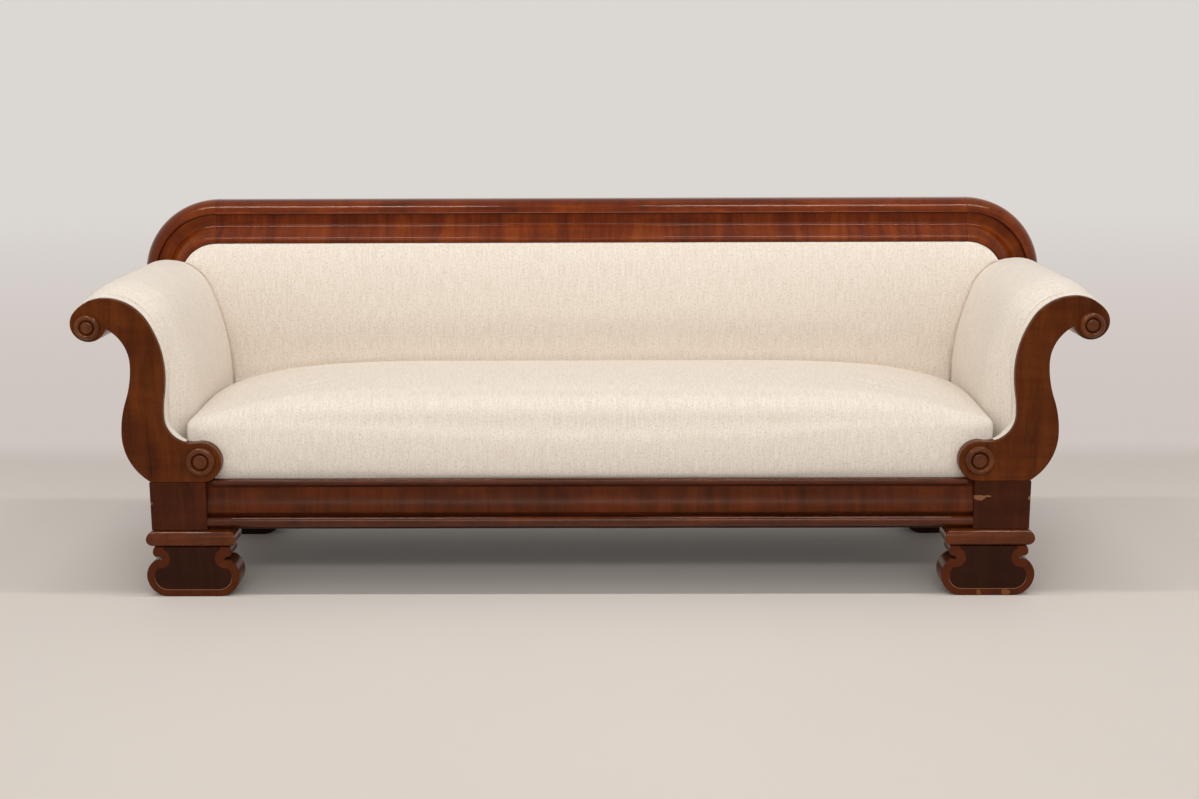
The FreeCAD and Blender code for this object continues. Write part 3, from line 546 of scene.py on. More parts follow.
def fabric(name, pale, warm, fleck):
    """Nubby ivory cloth: upright slubs, small flecks, a plain weave, and painted shade in the weave's
    hollows.
    """
    graph = Graph(name)
    place = graph.grain()
    drift = graph.noise(place, (60.0, 60.0, 0.0), 2)
    shift = graph.swing(drift, 0.004)
    bent = graph.moved(place, graph.node("ShaderNodeCombineXYZ", 0, {0: shift, 1: shift}))
    slub = graph.noise(bent, (330.0, 28.0, 0.0), 3, 0.6)
    broad = graph.noise(bent, (100.0, 9.0, 0.0), 2)
    nub = graph.noise(bent, (420.0, 320.0, 0.0), 2, 0.6)
    speck = graph.noise(bent, (260.0, 210.0, 0.0), 2, 0.65)
    across, along_warp, _ = graph.split(bent)
    plain = weave(graph, across, along_warp, YARN)
    tone = graph.add(graph.times(slub, 0.52), graph.times(broad, 0.12))
    tone = graph.add(tone, graph.times(nub, 0.36))
    colour = graph.mix(graph.span(tone, 0.37, 0.63), warm, pale)
    marks = graph.times(graph.span(speck, 0.52, 0.66), 0.45)
    colour = graph.mix(marks, colour, fleck)
    # Painted shade: the colour is pulled towards a darker copy of the warm tone where the weave is lowest, in
    # the hollows between the yarns.
    low = graph.times(graph.less(1.0, graph.span(plain, -1.0, -0.3)), 0.22)
    colour = graph.mix(low, colour, [c * 0.72 for c in warm])
    level = graph.add(graph.times(plain, 0.25), graph.times(nub, 1.1))
    level = graph.add(level, graph.times(slub, 1.4))
    normal = graph.bump(level, 0.5, 0.0012)
    return graph.finish(Base_Color=colour, Roughness=0.92, Normal=normal, Sheen_Weight=0.12,
                        Sheen_Roughness=0.5, Specular_IOR_Level=0.15)


def plain_wood(name, dark, light, axis):
    """Unpolished secondary wood."""
    graph = Graph(name)
    place = wood_places(graph, axis)
    grain = graph.noise(place, (3.0, 60.0, 60.0), 4, 0.6, 0.3)
    saw = graph.noise(place, (180.0, 6.0, 6.0), 2)
    colour = graph.ramp(grain, [(0.3, dark), (0.7, light)])
    normal = graph.bump(graph.add(grain, graph.times(saw, 0.4)), 0.3, 0.001)
    return graph.finish(Base_Color=colour, Roughness=graph.span(grain, 0.2, 0.8, 0.6, 0.8), Normal=normal)


def coarse_cloth(name, dark, light, yarn_mm):
    """Open plain-woven cloth in the sofa's frame: hessian, webbing or dust cloth, with painted shade in the
    weave's hollows.
    """
    graph = Graph(name)
    place = graph.place()
    across, depth, height = graph.split(place)
    plain = weave(graph, across, graph.add(depth, height), yarn_mm)
    drift = graph.noise(place, (90.0, 90.0, 90.0), 3)
    # The tone mixes random drift, the cloth's own, with the weave's height, which paints shade into the
    # weave's hollows.
    tone = graph.add(graph.times(plain, 0.25), drift)
    colour = graph.ramp(tone, [(0.2, dark), (0.8, light)])
    return graph.finish(Base_Color=colour, Roughness=0.95, Normal=graph.bump(plain, 0.5, 0.0006))


def steel(name):
    """Drawn wire, rusted in places."""
    graph = Graph(name)
    rust = graph.noise(graph.place(), (70.0, 70.0, 70.0), 4, 0.65)
    colour = graph.ramp(rust, [(0.35, (0.16, 0.12, 0.09)), (0.65, (0.35, 0.34, 0.33))])
    return graph.finish(Base_Color=colour, Metallic=0.9, Roughness=graph.span(rust, 0.3, 0.7, 0.55, 0.35))


FOOT_WEAR = [(852, 7, 6, 7), (911, 8, 10, 7)]
BLOCK_WEAR = [(845, 221, 14, 6), (864, 224, 10, 2), (955, 220, 4, 5), (-956, 210, 4, 4)]
CREST_WOOD = mahogany("mahogany_crest", (0.055, 0.007, 0.001), (0.125, 0.018, 0.002), (0.225, 0.042, 0.004),
                      gloss=0.1, shine=0.22)
CORNER_WOOD = mahogany("mahogany_corner", (0.062, 0.008, 0.001), (0.14, 0.023, 0.002), (0.25, 0.055, 0.005),
                       gloss=0.1, shine=0.22)
FACADE_WOOD = mahogany("mahogany_facade", (0.045, 0.0095, 0.003), (0.088, 0.02, 0.0035), (0.14, 0.034, 0.006))
BLOCK_WOOD = mahogany("mahogany_block", (0.028, 0.007, 0.003), (0.049, 0.011, 0.004), (0.078, 0.017, 0.006),
                      veneer=chipped(BLOCK_WEAR, (0.24, 0.105, 0.05)))
RAIL_WOOD = mahogany("mahogany_rail", (0.028, 0.005, 0.0015), (0.062, 0.011, 0.0025), (0.11, 0.021, 0.004),
                     gloss=0.1, shine=0.34)
VENEER_WOOD = mahogany("mahogany_veneer", (0.032, 0.006, 0.001), (0.075, 0.013, 0.0015), (0.13, 0.024, 0.003),
                       gloss=0.28, shine=0.16)
CAP_WOOD = mahogany("mahogany_cap", (0.045, 0.009, 0.002), (0.085, 0.018, 0.004), (0.13, 0.031, 0.007),
                    gloss=0.12, shine=0.24)
ROUNDEL_WOOD = mahogany("mahogany_roundel", (0.05, 0.01, 0.002), (0.095, 0.022, 0.004), (0.15, 0.04, 0.006),
                        gloss=0.1, shine=0.36)
FOOT_WOOD = mahogany("mahogany_foot", (0.02, 0.006, 0.003), (0.03, 0.008, 0.004), (0.04, 0.012, 0.005),
                     veneer=foot_veneer((0.032, 0.009, 0.0045), (0.1, 0.022, 0.006), (0.26, 0.14, 0.07)))
# Painted shade: the rear feet get a darker copy of the foot mahogany, standing for the shade they stand in
# beneath the frame.
SHADED_REAR_FOOT_WOOD = mahogany("shaded_rear_foot_wood", (0.01, 0.004, 0.002), (0.016, 0.006, 0.003),
                          (0.026, 0.009, 0.005))
FRAME_WOOD = {axis: mahogany(f"mahogany_frame_{axis}", (0.028, 0.005, 0.0015), (0.055, 0.01, 0.0025),
                             (0.09, 0.017, 0.004), axis=axis) for axis in "xy"}
INNER_WOOD = {axis: plain_wood(f"secondary_wood_{axis}", (0.3, 0.17, 0.08), (0.52, 0.34, 0.18), axis)
              for axis in "xyz"}
FABRIC = fabric("ivory_fabric", (0.845, 0.777, 0.69), (0.74, 0.65, 0.555), (0.5, 0.41, 0.32))
WEBBING = coarse_cloth("jute_webbing", (0.2, 0.13, 0.07), (0.45, 0.33, 0.2), 2.2)
HESSIAN = coarse_cloth("hessian_cloth", (0.22, 0.15, 0.08), (0.5, 0.38, 0.24), 1.8)
DUST_CLOTH = coarse_cloth("black_dust_cloth", (0.012, 0.012, 0.013), (0.04, 0.038, 0.036), 1.4)
STEEL = steel("spring_wire")


# Front rail mouldings
def bead_section(bottom, height, proud):
    """Half-round bead on the rail's face."""
    half = height / 2
    top, flat = bottom + height, RAIL_Y - (proud - half)
    return [((RAIL_Y, bottom), None, 0), ((RAIL_Y, top), None, 0), ((flat, top), half, 1),
            ((RAIL_Y - proud, bottom + half), half, 1), ((flat, bottom), None, 0)]


def anticlockwise(points):
    """The outline, turned round if it runs clockwise."""
    area = (points[:, 0] * np.roll(points[:, 1], -1) - points[:, 1] * np.roll(points[:, 0], -1)).sum()
    return points if area > 0 else points[::-1]


def moulding(name, outline, half_length, material, nodes, across=False, shift=0.0):
    """Straight moulding along the front rail; across turns its grain upright."""
    section = anticlockwise(soften(trace(outline, 0.8), 0.8, 3))
    rings = run_rings(section, -half_length, half_length)
    uv = ring_uv(rings, across, (shift, shift))
    return loft(name, rings, material, "mahogany", nodes, uv)


TOP_BEAD_X = 820.0
OGEE_TOP_Z, OGEE_LOW_Z = 243.0, 184.5
lower_bead = bead_section(bottom=155.0, height=23.5, proud=18.0)
top_bead = bead_section(bottom=249.0, height=14.0, proud=14.0)
moulding("lower_bead", lower_bead, BLOCK_X, RAIL_WOOD, ["front_rail_lower_bead"])
moulding("top_bead", top_bead, TOP_BEAD_X, RAIL_WOOD, ["front_rail_top_bead"], shift=400)
hollow, nose = (RAIL_Y - 2, OGEE_TOP_Z), (RAIL_Y - 13, 193.0)
swing = along(hollow, nose, 0.66)
hollow_round = upright_radius(hollow[0] - swing[0], hollow[1] - swing[1])
swell_round = upright_radius(swing[0] - nose[0], swing[1] - nose[1])
under = (nose[0] + 6, OGEE_LOW_Z)
nose_round = upright_radius(under[0] - nose[0], nose[1] - under[1])
ogee = [((RAIL_Y, OGEE_LOW_Z), None, 0), ((RAIL_Y, OGEE_TOP_Z), None, 0), (hollow, hollow_round, -1),
        (swing, swell_round, 1), (nose, nose_round, 1), (under, None, 0)]
moulding("rail_ogee", ogee, BLOCK_X, VENEER_WOOD, ["front_rail_ogee"], across=True, shift=800)


# Blocks and foot caps
WHOLE_SIDE = 400.0


def plan_rings(half_x, centre_x, front, rear, profile):
    """Rings of a rectangle in plan; profile gives pairs of draw-in and height."""
    corner = 1.2
    margin = corner * 3
    rings = []
    for draw, z in profile:
        left, right, near = centre_x - half_x + draw, centre_x + half_x - draw, front + draw
        plan = [((left, rear), None, 0), ((left, near + margin), None, 0),
                ((left, near + corner), corner, 1), ((left + corner, near), None, 0),
                ((left + margin, near), None, 0), ((right - margin, near), None, 0),
                ((right - corner, near), corner, 1), ((right, near + corner), None, 0),
                ((right, near + margin), None, 0), ((right, rear), None, 0)]
        points = trace(plan, WHOLE_SIDE)
        rings.append(np.column_stack([points, np.full(len(points), z)]))
    return np.stack(rings)


CAP_HALF = 18.75
CAP_HALF_X, CAP_PROUD = 97.5, 11.5
BLOCK_HALF_X = (BASE_X - BLOCK_X) / 2
FOOT_PROUD = 3
REAR_FOOT_DEPTH = 77
cap_turns = np.radians(np.linspace(-90, 90, 25))
cap_profile = [(CAP_HALF * (1 - math.cos(turn)), FOOT_TOP_Z + CAP_HALF + CAP_HALF * math.sin(turn))
               for turn in cap_turns]
BLOCK_EASE = 1.6
block_steps = [(1, 0), (0.3, 0.3), (0, 1), (0, 3)]
block_profile = [(draw * BLOCK_EASE, BASE_Z + rise * BLOCK_EASE) for draw, rise in block_steps]
block_profile += [(draw * BLOCK_EASE, BLOCK_Z - rise * BLOCK_EASE) for draw, rise in block_steps[::-1]]
for side, way in SIDES.items():
    rings = plan_rings(CAP_HALF_X, FOOT_X * way, FRONT_Y - CAP_PROUD, BLOCK_Y, cap_profile)
    loft(f"foot_cap_{side}", rings, CAP_WOOD, "mahogany", [f"front_foot_cap_{side}"],
         level_uv(rings, 300 * way), sharp=50)
    rings = plan_rings(BLOCK_HALF_X, (BLOCK_X + BASE_X) / 2 * way, FRONT_Y, BLOCK_Y, block_profile)
    loft(f"block_{side}", rings, BLOCK_WOOD, "mahogany", [f"plinth_block_{side}"],
         upright_uv(rings, 700 * way))


# Feet
def foot_outline(top):
    """Outline of a foot about X = 0: flat sole, round lobes, keyhole notches and neck."""
    sole_x, notch_x, notch_round = 56.0, 71.5, 3.5
    shoulder = (81.0, 83.0)
    ear_low, ear, lobe = (80.0, 90.0), (86.5, 100.0), (102.0, 47.0)
    neck_low, neck = (84.0, top - 3.0), (81.0, top)
    right = [
        ((sole_x, 0.0), upright_radius(lobe[0] - sole_x, lobe[1]), 1),
        (lobe, upright_radius(lobe[0] - shoulder[0], shoulder[1] - lobe[1]), 1),
        (shoulder, None, 0),
        ((notch_x, shoulder[1]), notch_round, -1),
        ((notch_x - notch_round, shoulder[1] + notch_round), notch_round, -1),
        ((notch_x, ear_low[1]), None, 0),
        (ear_low, upright_radius(ear[0] - ear_low[0], ear[1] - ear_low[1]), 1),
        (ear, upright_radius(ear[0] - neck_low[0], neck_low[1] - ear[1]), 1),
        (neck_low, 3.0, 1),
        (neck, None, 0),
    ]
    left = []
    for index in range(len(right) - 1, -1, -1):
        x, z = right[index][0]
        bend = right[index - 1] if index else (None, None, 0)
        left.append(((-x, z), bend[1], bend[2]))
    return trace(right + left, 1.6)


def foot(name, centre_x, top, front, rear, material, slot, node):
    """Lobed foot; rim holds each point's distance from the outline on the front face."""
    outline = foot_outline(top) + [centre_x, 0]
    following = np.roll(outline, -1, 0)
    sides = ~((outline[:, 1] > top - 0.01) & (following[:, 1] > top - 0.01))
    rings = board_rings(outline, front, rear, 1.8, (1,))
    face = rings[0][:, [0, 2]]
    step, reach = 2.4, 102
    grid_x, grid_z = np.meshgrid(np.arange(-reach, reach, step) + centre_x, np.arange(2, top, step))
    grid = np.column_stack([grid_x.ravel(), grid_z.ravel()])
    grid = grid[inside(grid, face)]
    grid = grid[edge_distance(grid, face, np.roll(face, -1, 0)) > step / 2]
    cloud = [Vector(point) for point in np.vstack([face, grid])]
    flat, _, triangles, *_ = delaunay_2d_cdt(cloud, [], [list(range(len(face)))], 1, 1e-6)
    flat = np.array([tuple(point) for point in flat])
    size = rings.shape[1]
    faces, corners = skin(rings, upright_uv(rings, 0.0))
    faces, corners = faces[:-2], corners[:-2 * size]
    vertices = rings.reshape(-1, 3)
    for y in (front, rear):
        first = len(vertices)
        vertices = np.vstack([vertices, at_depth(flat, y)])
        for triangle in triangles:
            faces.append(tuple(first + k for k in triangle))
            corners += [(flat[k, 1], flat[k, 0] + y) for k in triangle]
    rim = edge_distance(vertices[:, [0, 2]], outline[sides], following[sides])
    rim[vertices[:, 1] > rear - 1] = 0
    piece = make_piece(name, vertices, faces, corners, material, slot, [node], {"rim": rim})
    weld = bmesh.new()
    weld.from_mesh(piece.data)
    bmesh.ops.remove_doubles(weld, verts=weld.verts, dist=2e-5)
    bmesh.ops.recalc_face_normals(weld, faces=weld.faces)
    weld.to_mesh(piece.data)
    weld.free()
    return piece


for side, way in SIDES.items():
    foot(f"foot_front_{side}", FOOT_X * way, FOOT_TOP_Z, FRONT_Y - FOOT_PROUD, BLOCK_Y, FOOT_WOOD, "mahogany",
         f"front_foot_{side}")
    # The rear feet use the darker, painted-shade copy of the foot wood.
    foot(f"foot_rear_{side}", FOOT_X * way, BASE_Z, REAR_Y - REAR_FOOT_DEPTH, REAR_Y, SHADED_REAR_FOOT_WOOD,
         "dark_wood", f"rear_foot_{side}")


# Scroll arms
def crown_arcs(apex, apex_round, waist, curl, curl_round):
    """Tangent arcs from curl over the apex and down to an upright waist: points and radii."""
    across, drop = curl[0] - apex[0], apex[1] - curl[1]
    over = (across ** 2 + drop ** 2 - curl_round ** 2) / (2 * (drop - curl_round))
    touch = along((apex[0], apex[1] - over), curl, over / (over - curl_round))
    span, rise = apex[0] - waist[0], apex[1] - waist[1]
    bend = (span ** 2 + rise ** 2 - 2 * rise * apex_round) / (2 * (span - apex_round))
    meet = along((waist[0] + bend, waist[1]), (apex[0], apex[1] - apex_round), bend / (bend - apex_round))
    return touch, over, meet, bend


SCROLL_CORNER = polar(VOLUTE, VOLUTE_ROUND, VOLUTE_CORNER)


def outer_side(shift=0.0):
    """Outer edge of the scroll from toe to volute corner, moved inwards by shift."""
    low_round = upright_radius(BELLY_OUT[0] - TOE[0], BELLY_OUT[1] - TOE[1])
    turn_point, sway = cyma((BELLY_OUT[0], WAIST_OUT[1]), (WAIST_OUT[0], BELLY_OUT[1]))
    curl = upright_radius(SCROLL_CORNER[0] - WAIST_OUT[0], SCROLL_CORNER[1] - WAIST_OUT[1])
    points = [(TOE, low_round, 1), (BELLY_OUT, sway, 1), (turn_point, sway, -1), (WAIST_OUT, curl, -1),
              (SCROLL_CORNER, None, 0)]
    return [((point[0] - shift, point[1]), radius, turn) for point, radius, turn in points]


def scroll_outline(inner_foot):
    """Outline of a scroll board from its toe round the volute to the given inner foot."""
    touch, over, meet, bend = crown_arcs(APEX, APEX_ROUND, WAIST_IN, VOLUTE, VOLUTE_ROUND)
    volute_low = polar(VOLUTE, VOLUTE_ROUND, 300)
    return outer_side()[:-1] + [
        (SCROLL_CORNER, VOLUTE_ROUND, 1), (volute_low, VOLUTE_ROUND, 1), (touch, over, 1),
        (APEX, APEX_ROUND, 1), (meet, bend, 1)] + inner_foot


def boss_foot():
    """Inner edge of the front scroll from waist over belly and cove to the boss."""
    turn_point, sway = cyma((BELLY_IN[0], WAIST_IN[1]), (WAIST_IN[0], BELLY_IN[1]))
    across, drop = BELLY_IN[0] - BOSS[0], BELLY_IN[1] - BOSS[1]
    cove = (across ** 2 + drop ** 2 - BOSS_ROUND ** 2) / (2 * (across + BOSS_ROUND))
    touch = along((BELLY_IN[0] - cove, BELLY_IN[1]), BOSS, cove / (cove + BOSS_ROUND))
    return [(WAIST_IN, sway, 1), (turn_point, sway, -1), (BELLY_IN, cove, -1), (touch, BOSS_ROUND, 1),
            ((BOSS[0] - BOSS_ROUND, BOSS[1]), BOSS_ROUND, 1), ((BOSS[0], BLOCK_Z), None, 0)]


def below(points, level):
    """The part of an outline under a level line."""
    kept = []
    for (x0, z0), (x1, z1) in zip(points, np.roll(points, -1, 0)):
        if z0 <= level:
            kept.append((x0, z0))
        if (z0 <= level) != (z1 <= level):
            kept.append((x0 + (x1 - x0) * (level - z0) / (z1 - z0), level))
    return np.array(kept)


front_scroll = trace(scroll_outline(boss_foot()), 2.5)
POST_WIDTH = 58
post_foot = [(WAIST_IN, None, 0), ((BASE_X - POST_WIDTH, BLOCK_Z), None, 0)]
rear_scroll = below(trace(scroll_outline(post_foot), 4.0), CORNER_Z)
for side, way in SIDES.items():
    outline = front_scroll if way > 0 else mirror(front_scroll)
    board(f"scroll_{side}", outline, FRONT_Y, BOARD_Y, FACADE_WOOD, "mahogany",
          [f"arm_scroll_front_{side}"], ease=2.2, shift=900 * way)
    outline = rear_scroll if way > 0 else mirror(rear_scroll)
    board(f"post_{side}", outline, POST_Y, REAR_Y, FACADE_WOOD, "mahogany", [f"rear_arm_post_{side}"],
          ease=2.0, shift=1500 * way)

# Roundels: turned ring, groove, bead and button
TURNING = [(1.0, 0.0), (1.0, 0.2), (0.99, 0.42), (0.965, 0.62), (0.925, 0.79), (0.87, 0.91), (0.81, 0.98),
           (0.75, 1.0), (0.69, 0.96), (0.64, 0.87), (0.6, 0.74), (0.57, 0.6), (0.553, 0.48), (0.542, 0.4),
           (0.528, 0.39), (0.515, 0.44), (0.505, 0.56), (0.49, 0.68), (0.46, 0.77), (0.42, 0.82),
           (0.36, 0.86), (0.27, 0.9), (0.17, 0.925), (0.06, 0.935)]
ROUNDEL_PROUD = 13.0
circle = np.radians(np.arange(0, 360, 3.75))


def roundel_pair(name, radius, centre, nodes):
    """Both mirror-image roundels of one kind, each turned about its own axis."""
    parts = []
    for way in SIDES.values():
        rings = []
        for share, height in TURNING:
            x = centre[0] * way + radius * share * np.cos(circle)
            z = centre[1] + radius * share * np.sin(circle)
            rings.append(at_depth(np.column_stack([x, z]), FRONT_Y - ROUNDEL_PROUD * height))
        rings = np.stack(rings)
        points = looped(rings)
        parts.append((rings, np.stack([points[..., 2] + 200 * way, points[..., 0]], -1)))
    return make_piece(name, *gather(parts), ROUNDEL_WOOD, "mahogany", nodes, sharp=60)


roundel_pair("roundels_upper", radius=27.5, centre=(VOLUTE[0], 600.0), nodes=["upper_roundels"])
roundel_pair("roundels_lower", radius=32.0, centre=(BOSS[0], 305.0), nodes=["lower_roundels"])

# Crest rail
ROLL_ROUND = 42.0
ROLL_Y = REAR_Y - 18
LIP_TURN = math.radians(13.6)
LIP_Y = ROLL_Y - ROLL_ROUND * math.cos(LIP_TURN)
LIP_Z = TOP_Z - ROLL_ROUND * (1 - math.sin(LIP_TURN))
roll = [((REAR_Y, LIP_Z), None, 0), ((REAR_Y, TOP_Z), None, 0), ((ROLL_Y, TOP_Z), ROLL_ROUND, 1),
        ((LIP_Y, LIP_Z), None, 0)]
BAND_Y = LIP_Y + 10
NOSE_Y = POST_Y - 2
NOSE_Z = CREST_LOW_Z + 7
BEND = 9.0
half_turn = BEND * math.sin(math.radians(45))
draw = BEND - half_turn
slope = BAND_Y - NOSE_Y - 2 * draw
band = (BAND_Y, NOSE_Z + slope + 2 * half_turn)
under_nose = (NOSE_Y + 4, CREST_LOW_Z)
crest = [((REAR_Y, CREST_LOW_Z), None, 0), ((REAR_Y, LIP_Z), None, 0), ((BAND_Y, LIP_Z), None, 0),
         (band, BEND, -1), ((BAND_Y - draw, band[1] - half_turn), None, 0),
         ((NOSE_Y + draw, NOSE_Z + half_turn), BEND, 1), ((NOSE_Y, NOSE_Z), upright_radius(4, 7), 1),
         (under_nose, None, 0)]
JOINT = 0.15


def turned_pair(name, section, material, nodes):
    """Both crest corners: the section turned a quarter circle down to the rear posts."""
    parts = []
    first = math.degrees(JOINT / 150)
    for way in SIDES.values():
        rings = []
        for ring, turn in eased_ends(section, np.linspace(first, 90, 46), 0.2):
            angle = math.radians(turn)
            reach = ring[:, 1] - CORNER_Z
            x = (CORNER_X + reach * math.sin(angle)) * way
            rings.append(np.column_stack([x, ring[:, 0], CORNER_Z + reach * math.cos(angle)]))
        rings = np.stack(rings)
        parts.append((rings, ring_uv(rings, False, (1200 * way, 500))))
    return make_piece(name, *gather(parts), material, "mahogany", nodes)


for name, outline, across, shift in (("roll", roll, False, 2000), ("ogee", crest, True, 2600)):
    section = anticlockwise(soften(trace(outline, 0.8), 0.9, 4))
    rings = run_rings(section, -CORNER_X + JOINT, CORNER_X - JOINT, 0.4)
    loft(f"crest_{name}", rings, CREST_WOOD, "mahogany", [f"crest_{name}_middle"],
         ring_uv(rings, across, (shift, shift)))
    turned_pair(f"crest_{name}_turns", section, CORNER_WOOD, [f"crest_{name}_corners"])


# Upholstery
def arm_section(fullness, grow=0.0):
    """Hook-shaped section of the arm pad; fullness draws it in towards the scroll board."""
    inner, drop = 26.4, 112
    face_x = BELLY_IN[0] - 46 * fullness - grow
    crown = (APEX[0] - 25 * fullness, APEX[1] + 22 * fullness + grow)
    wrap = VOLUTE_ROUND + 1.5 * fullness + grow
    straight_top = (face_x, BLOCK_Z + 172)
    touch, over, meet, bend = crown_arcs(crown, APEX_ROUND, straight_top, VOLUTE, wrap)
    pad_back = BASE_X - 30
    hook = VOLUTE_CORNER + 10
    over_bar = polar(VOLUTE, inner, 100)
    spring = (pad_back, over_bar[1] - drop)
    return [((face_x, BLOCK_Z + GAP), None, 0), ((pad_back, BLOCK_Z + GAP), None, 0),
            (spring, upright_radius(over_bar[0] - spring[0], drop), -1), (over_bar, inner, -1),
            (polar(VOLUTE, inner, 10), inner, -1), (polar(VOLUTE, inner, 280), inner, -1),
            (polar(VOLUTE, inner, hook), None, 0), (polar(VOLUTE, wrap, hook), wrap, 1),
            (polar(VOLUTE, wrap, 300), wrap, 1), (touch, over, 1), (crown, APEX_ROUND, 1), (meet, bend, 1),
            (straight_top, None, 0)]


SIM_FRAMES = 16
COVER_PRESSURE = 4.0


def settle(piece, held, cap):
    """Swell a cover between its held points by cloth simulation; no point moves further than cap."""
    mesh = piece.data
    start = np.empty(len(mesh.vertices) * 3, np.float32)
    mesh.vertices.foreach_get("co", start)
    group = piece.vertex_groups.new(name="held")
    group.add([int(index) for index in np.flatnonzero(held)], 1.0, "REPLACE")
    cloth = piece.modifiers.new("cover", "CLOTH")
    cloth.settings.quality = 4
    cloth.settings.mass = 0.3
    cloth.settings.tension_stiffness = 20
    cloth.settings.compression_stiffness = 20
    cloth.settings.shear_stiffness = 10
    cloth.settings.bending_stiffness = 1
    cloth.settings.vertex_group_mass = "held"
    cloth.settings.use_pressure = True
    cloth.settings.uniform_pressure_force = COVER_PRESSURE
    cloth.settings.effector_weights.gravity = 0
    cloth.collision_settings.use_collision = False
    cloth.point_cache.frame_start = 1
    cloth.point_cache.frame_end = SIM_FRAMES
    for number in range(1, SIM_FRAMES + 1):
        bpy.context.scene.frame_set(number)
    shaped = piece.evaluated_get(bpy.context.evaluated_depsgraph_get())
    swollen = np.empty_like(start)
    shaped.data.vertices.foreach_get("co", swollen)
    move = (swollen - start).reshape(-1, 3) / MM
    length = np.maximum(np.linalg.norm(move, axis=1, keepdims=True), 1e-6)
    move *= cap * np.tanh(length / cap) / length
    piece.modifiers.remove(cloth)
    piece.vertex_groups.remove(group)
    bpy.context.scene.frame_set(1)
    mesh.vertices.foreach_set("co", start + move.ravel() * MM)
    mesh.update()


ARM_COUNTS = [4, 12, 12, 6, 6, 6, 2, 18, 26, 16, 30, 30, 36]
ARM_FRONT = BOARD_Y + GAP
ARM_REAR = POST_Y - GAP
ARM_SOFT = 110.0
ARM_START = 0.2


def arm_outline(fullness):
    """Outline of the arm pad, a little fuller where it passes over the volute."""
    section = trace(arm_section(fullness), counts=ARM_COUNTS)
    beyond = np.clip((section[:, 0] - 1000) / 60, 0, 1)
    above = np.clip((section[:, 1] - VOLUTE[1]) / VOLUTE_ROUND, 0, 1)
    section[:, 1] += 5 * fullness * beyond * above
    return section


def arm_edge():
    """Edge of the cover, tacked along the scroll board's inner edge just behind its face."""
    first = np.argmin(np.linalg.norm(front_scroll - polar(VOLUTE, VOLUTE_ROUND, 340), axis=1))
    last = np.argmin(np.linalg.norm(front_scroll - boss_foot()[3][0], axis=1)) - 8
    steps = np.arange(last - first)
    taper = np.minimum(np.minimum(steps, steps[::-1]) / 10, 1)[:, None]
    board_side = inset(front_scroll, -0.3)[first:last]
    rings = []
    for share in np.linspace(0, 1, 6):
        cover = inset(front_scroll, -0.9 - 3.6 * share)[first:last] * taper
        cover += inset(front_scroll, -0.6)[first:last] * (1 - taper)
        strip = np.vstack([cover, board_side[::-1]])
        rings.append(at_depth(strip, FRONT_Y + 11 + (BOARD_Y - FRONT_Y - 11.2) * share))
    return np.stack(rings)


def add_skin(piece, rings, uv):
    """Join one more skin to a piece's mesh."""
    faces, corners = skin(rings, uv)
    extra = make_mesh("extra", rings.reshape(-1, 3), faces, corners)
    shell = bmesh.new()
    shell.from_mesh(piece.data)
    shell.from_mesh(extra)
    shell.to_mesh(piece.data)
    shell.free()
    bpy.data.meshes.remove(extra)


def arm_pad(side, way):
    """Arm pad swelling from the scroll board to its full section, with the cover's edge before it."""
    near = np.linspace(0, 1, 24) ** 1.3 * ARM_SOFT
    places = np.concatenate([ARM_FRONT + near, np.linspace(ARM_FRONT + ARM_SOFT, ARM_REAR, 50)[1:]])
    rings = []
    for y in places:
        share = min((y - ARM_FRONT) / ARM_SOFT, 1)
        section = arm_outline(ARM_START + (1 - ARM_START) * math.sin(share * math.pi / 2))
        rings.append(at_depth(section, y))
    rings = np.stack(rings)
    edge = arm_edge()
    piece = loft(f"arm_upholstery_{side}", rings * [way, 1, 1], FABRIC, "ivory_fabric", [f"arm_pad_{side}"],
                 along_y(rings))
    outer = np.arange(rings.shape[1]) >= sum(ARM_COUNTS[:8])
    low = rings[..., 2] < seat_level(SEAT_END_X) + 8
    ends = (rings[..., 1] < ARM_FRONT + 2) | (rings[..., 1] > ARM_REAR - 2)
    settle(piece, (~outer[None] | low | ends).ravel(), 2.5)
    add_skin(piece, edge * [way, 1, 1], along_y(edge))
    return piece


SEAT_DROP = 53


def seat_level(x):
    """Height of the seat's crown, which drops towards its ends."""
    return SEAT_CROWN_Z - SEAT_DROP * (np.abs(x) / SEAT_END_X) ** 6


def back_face(x, z):
    """Depth of the back pad's face; below its crown it draws back to the seat's rear edge."""
    proud, lean, height = 24, 17, 142.6
    crown_y, crown_z = SEAT_REAR_Y + GAP - proud, SEAT_CROWN_Z + 134
    rise = z - crown_z
    if rise > 0:
        bend = upright_radius(lean, height)
        return np.full(len(x), crown_y + bend - math.sqrt(bend ** 2 - min(rise, height) ** 2))
    share = np.minimum(-rise / (crown_z + 12 - seat_level(x)), 1)
    return crown_y + proud * share ** 2 * (3 - 2 * share)


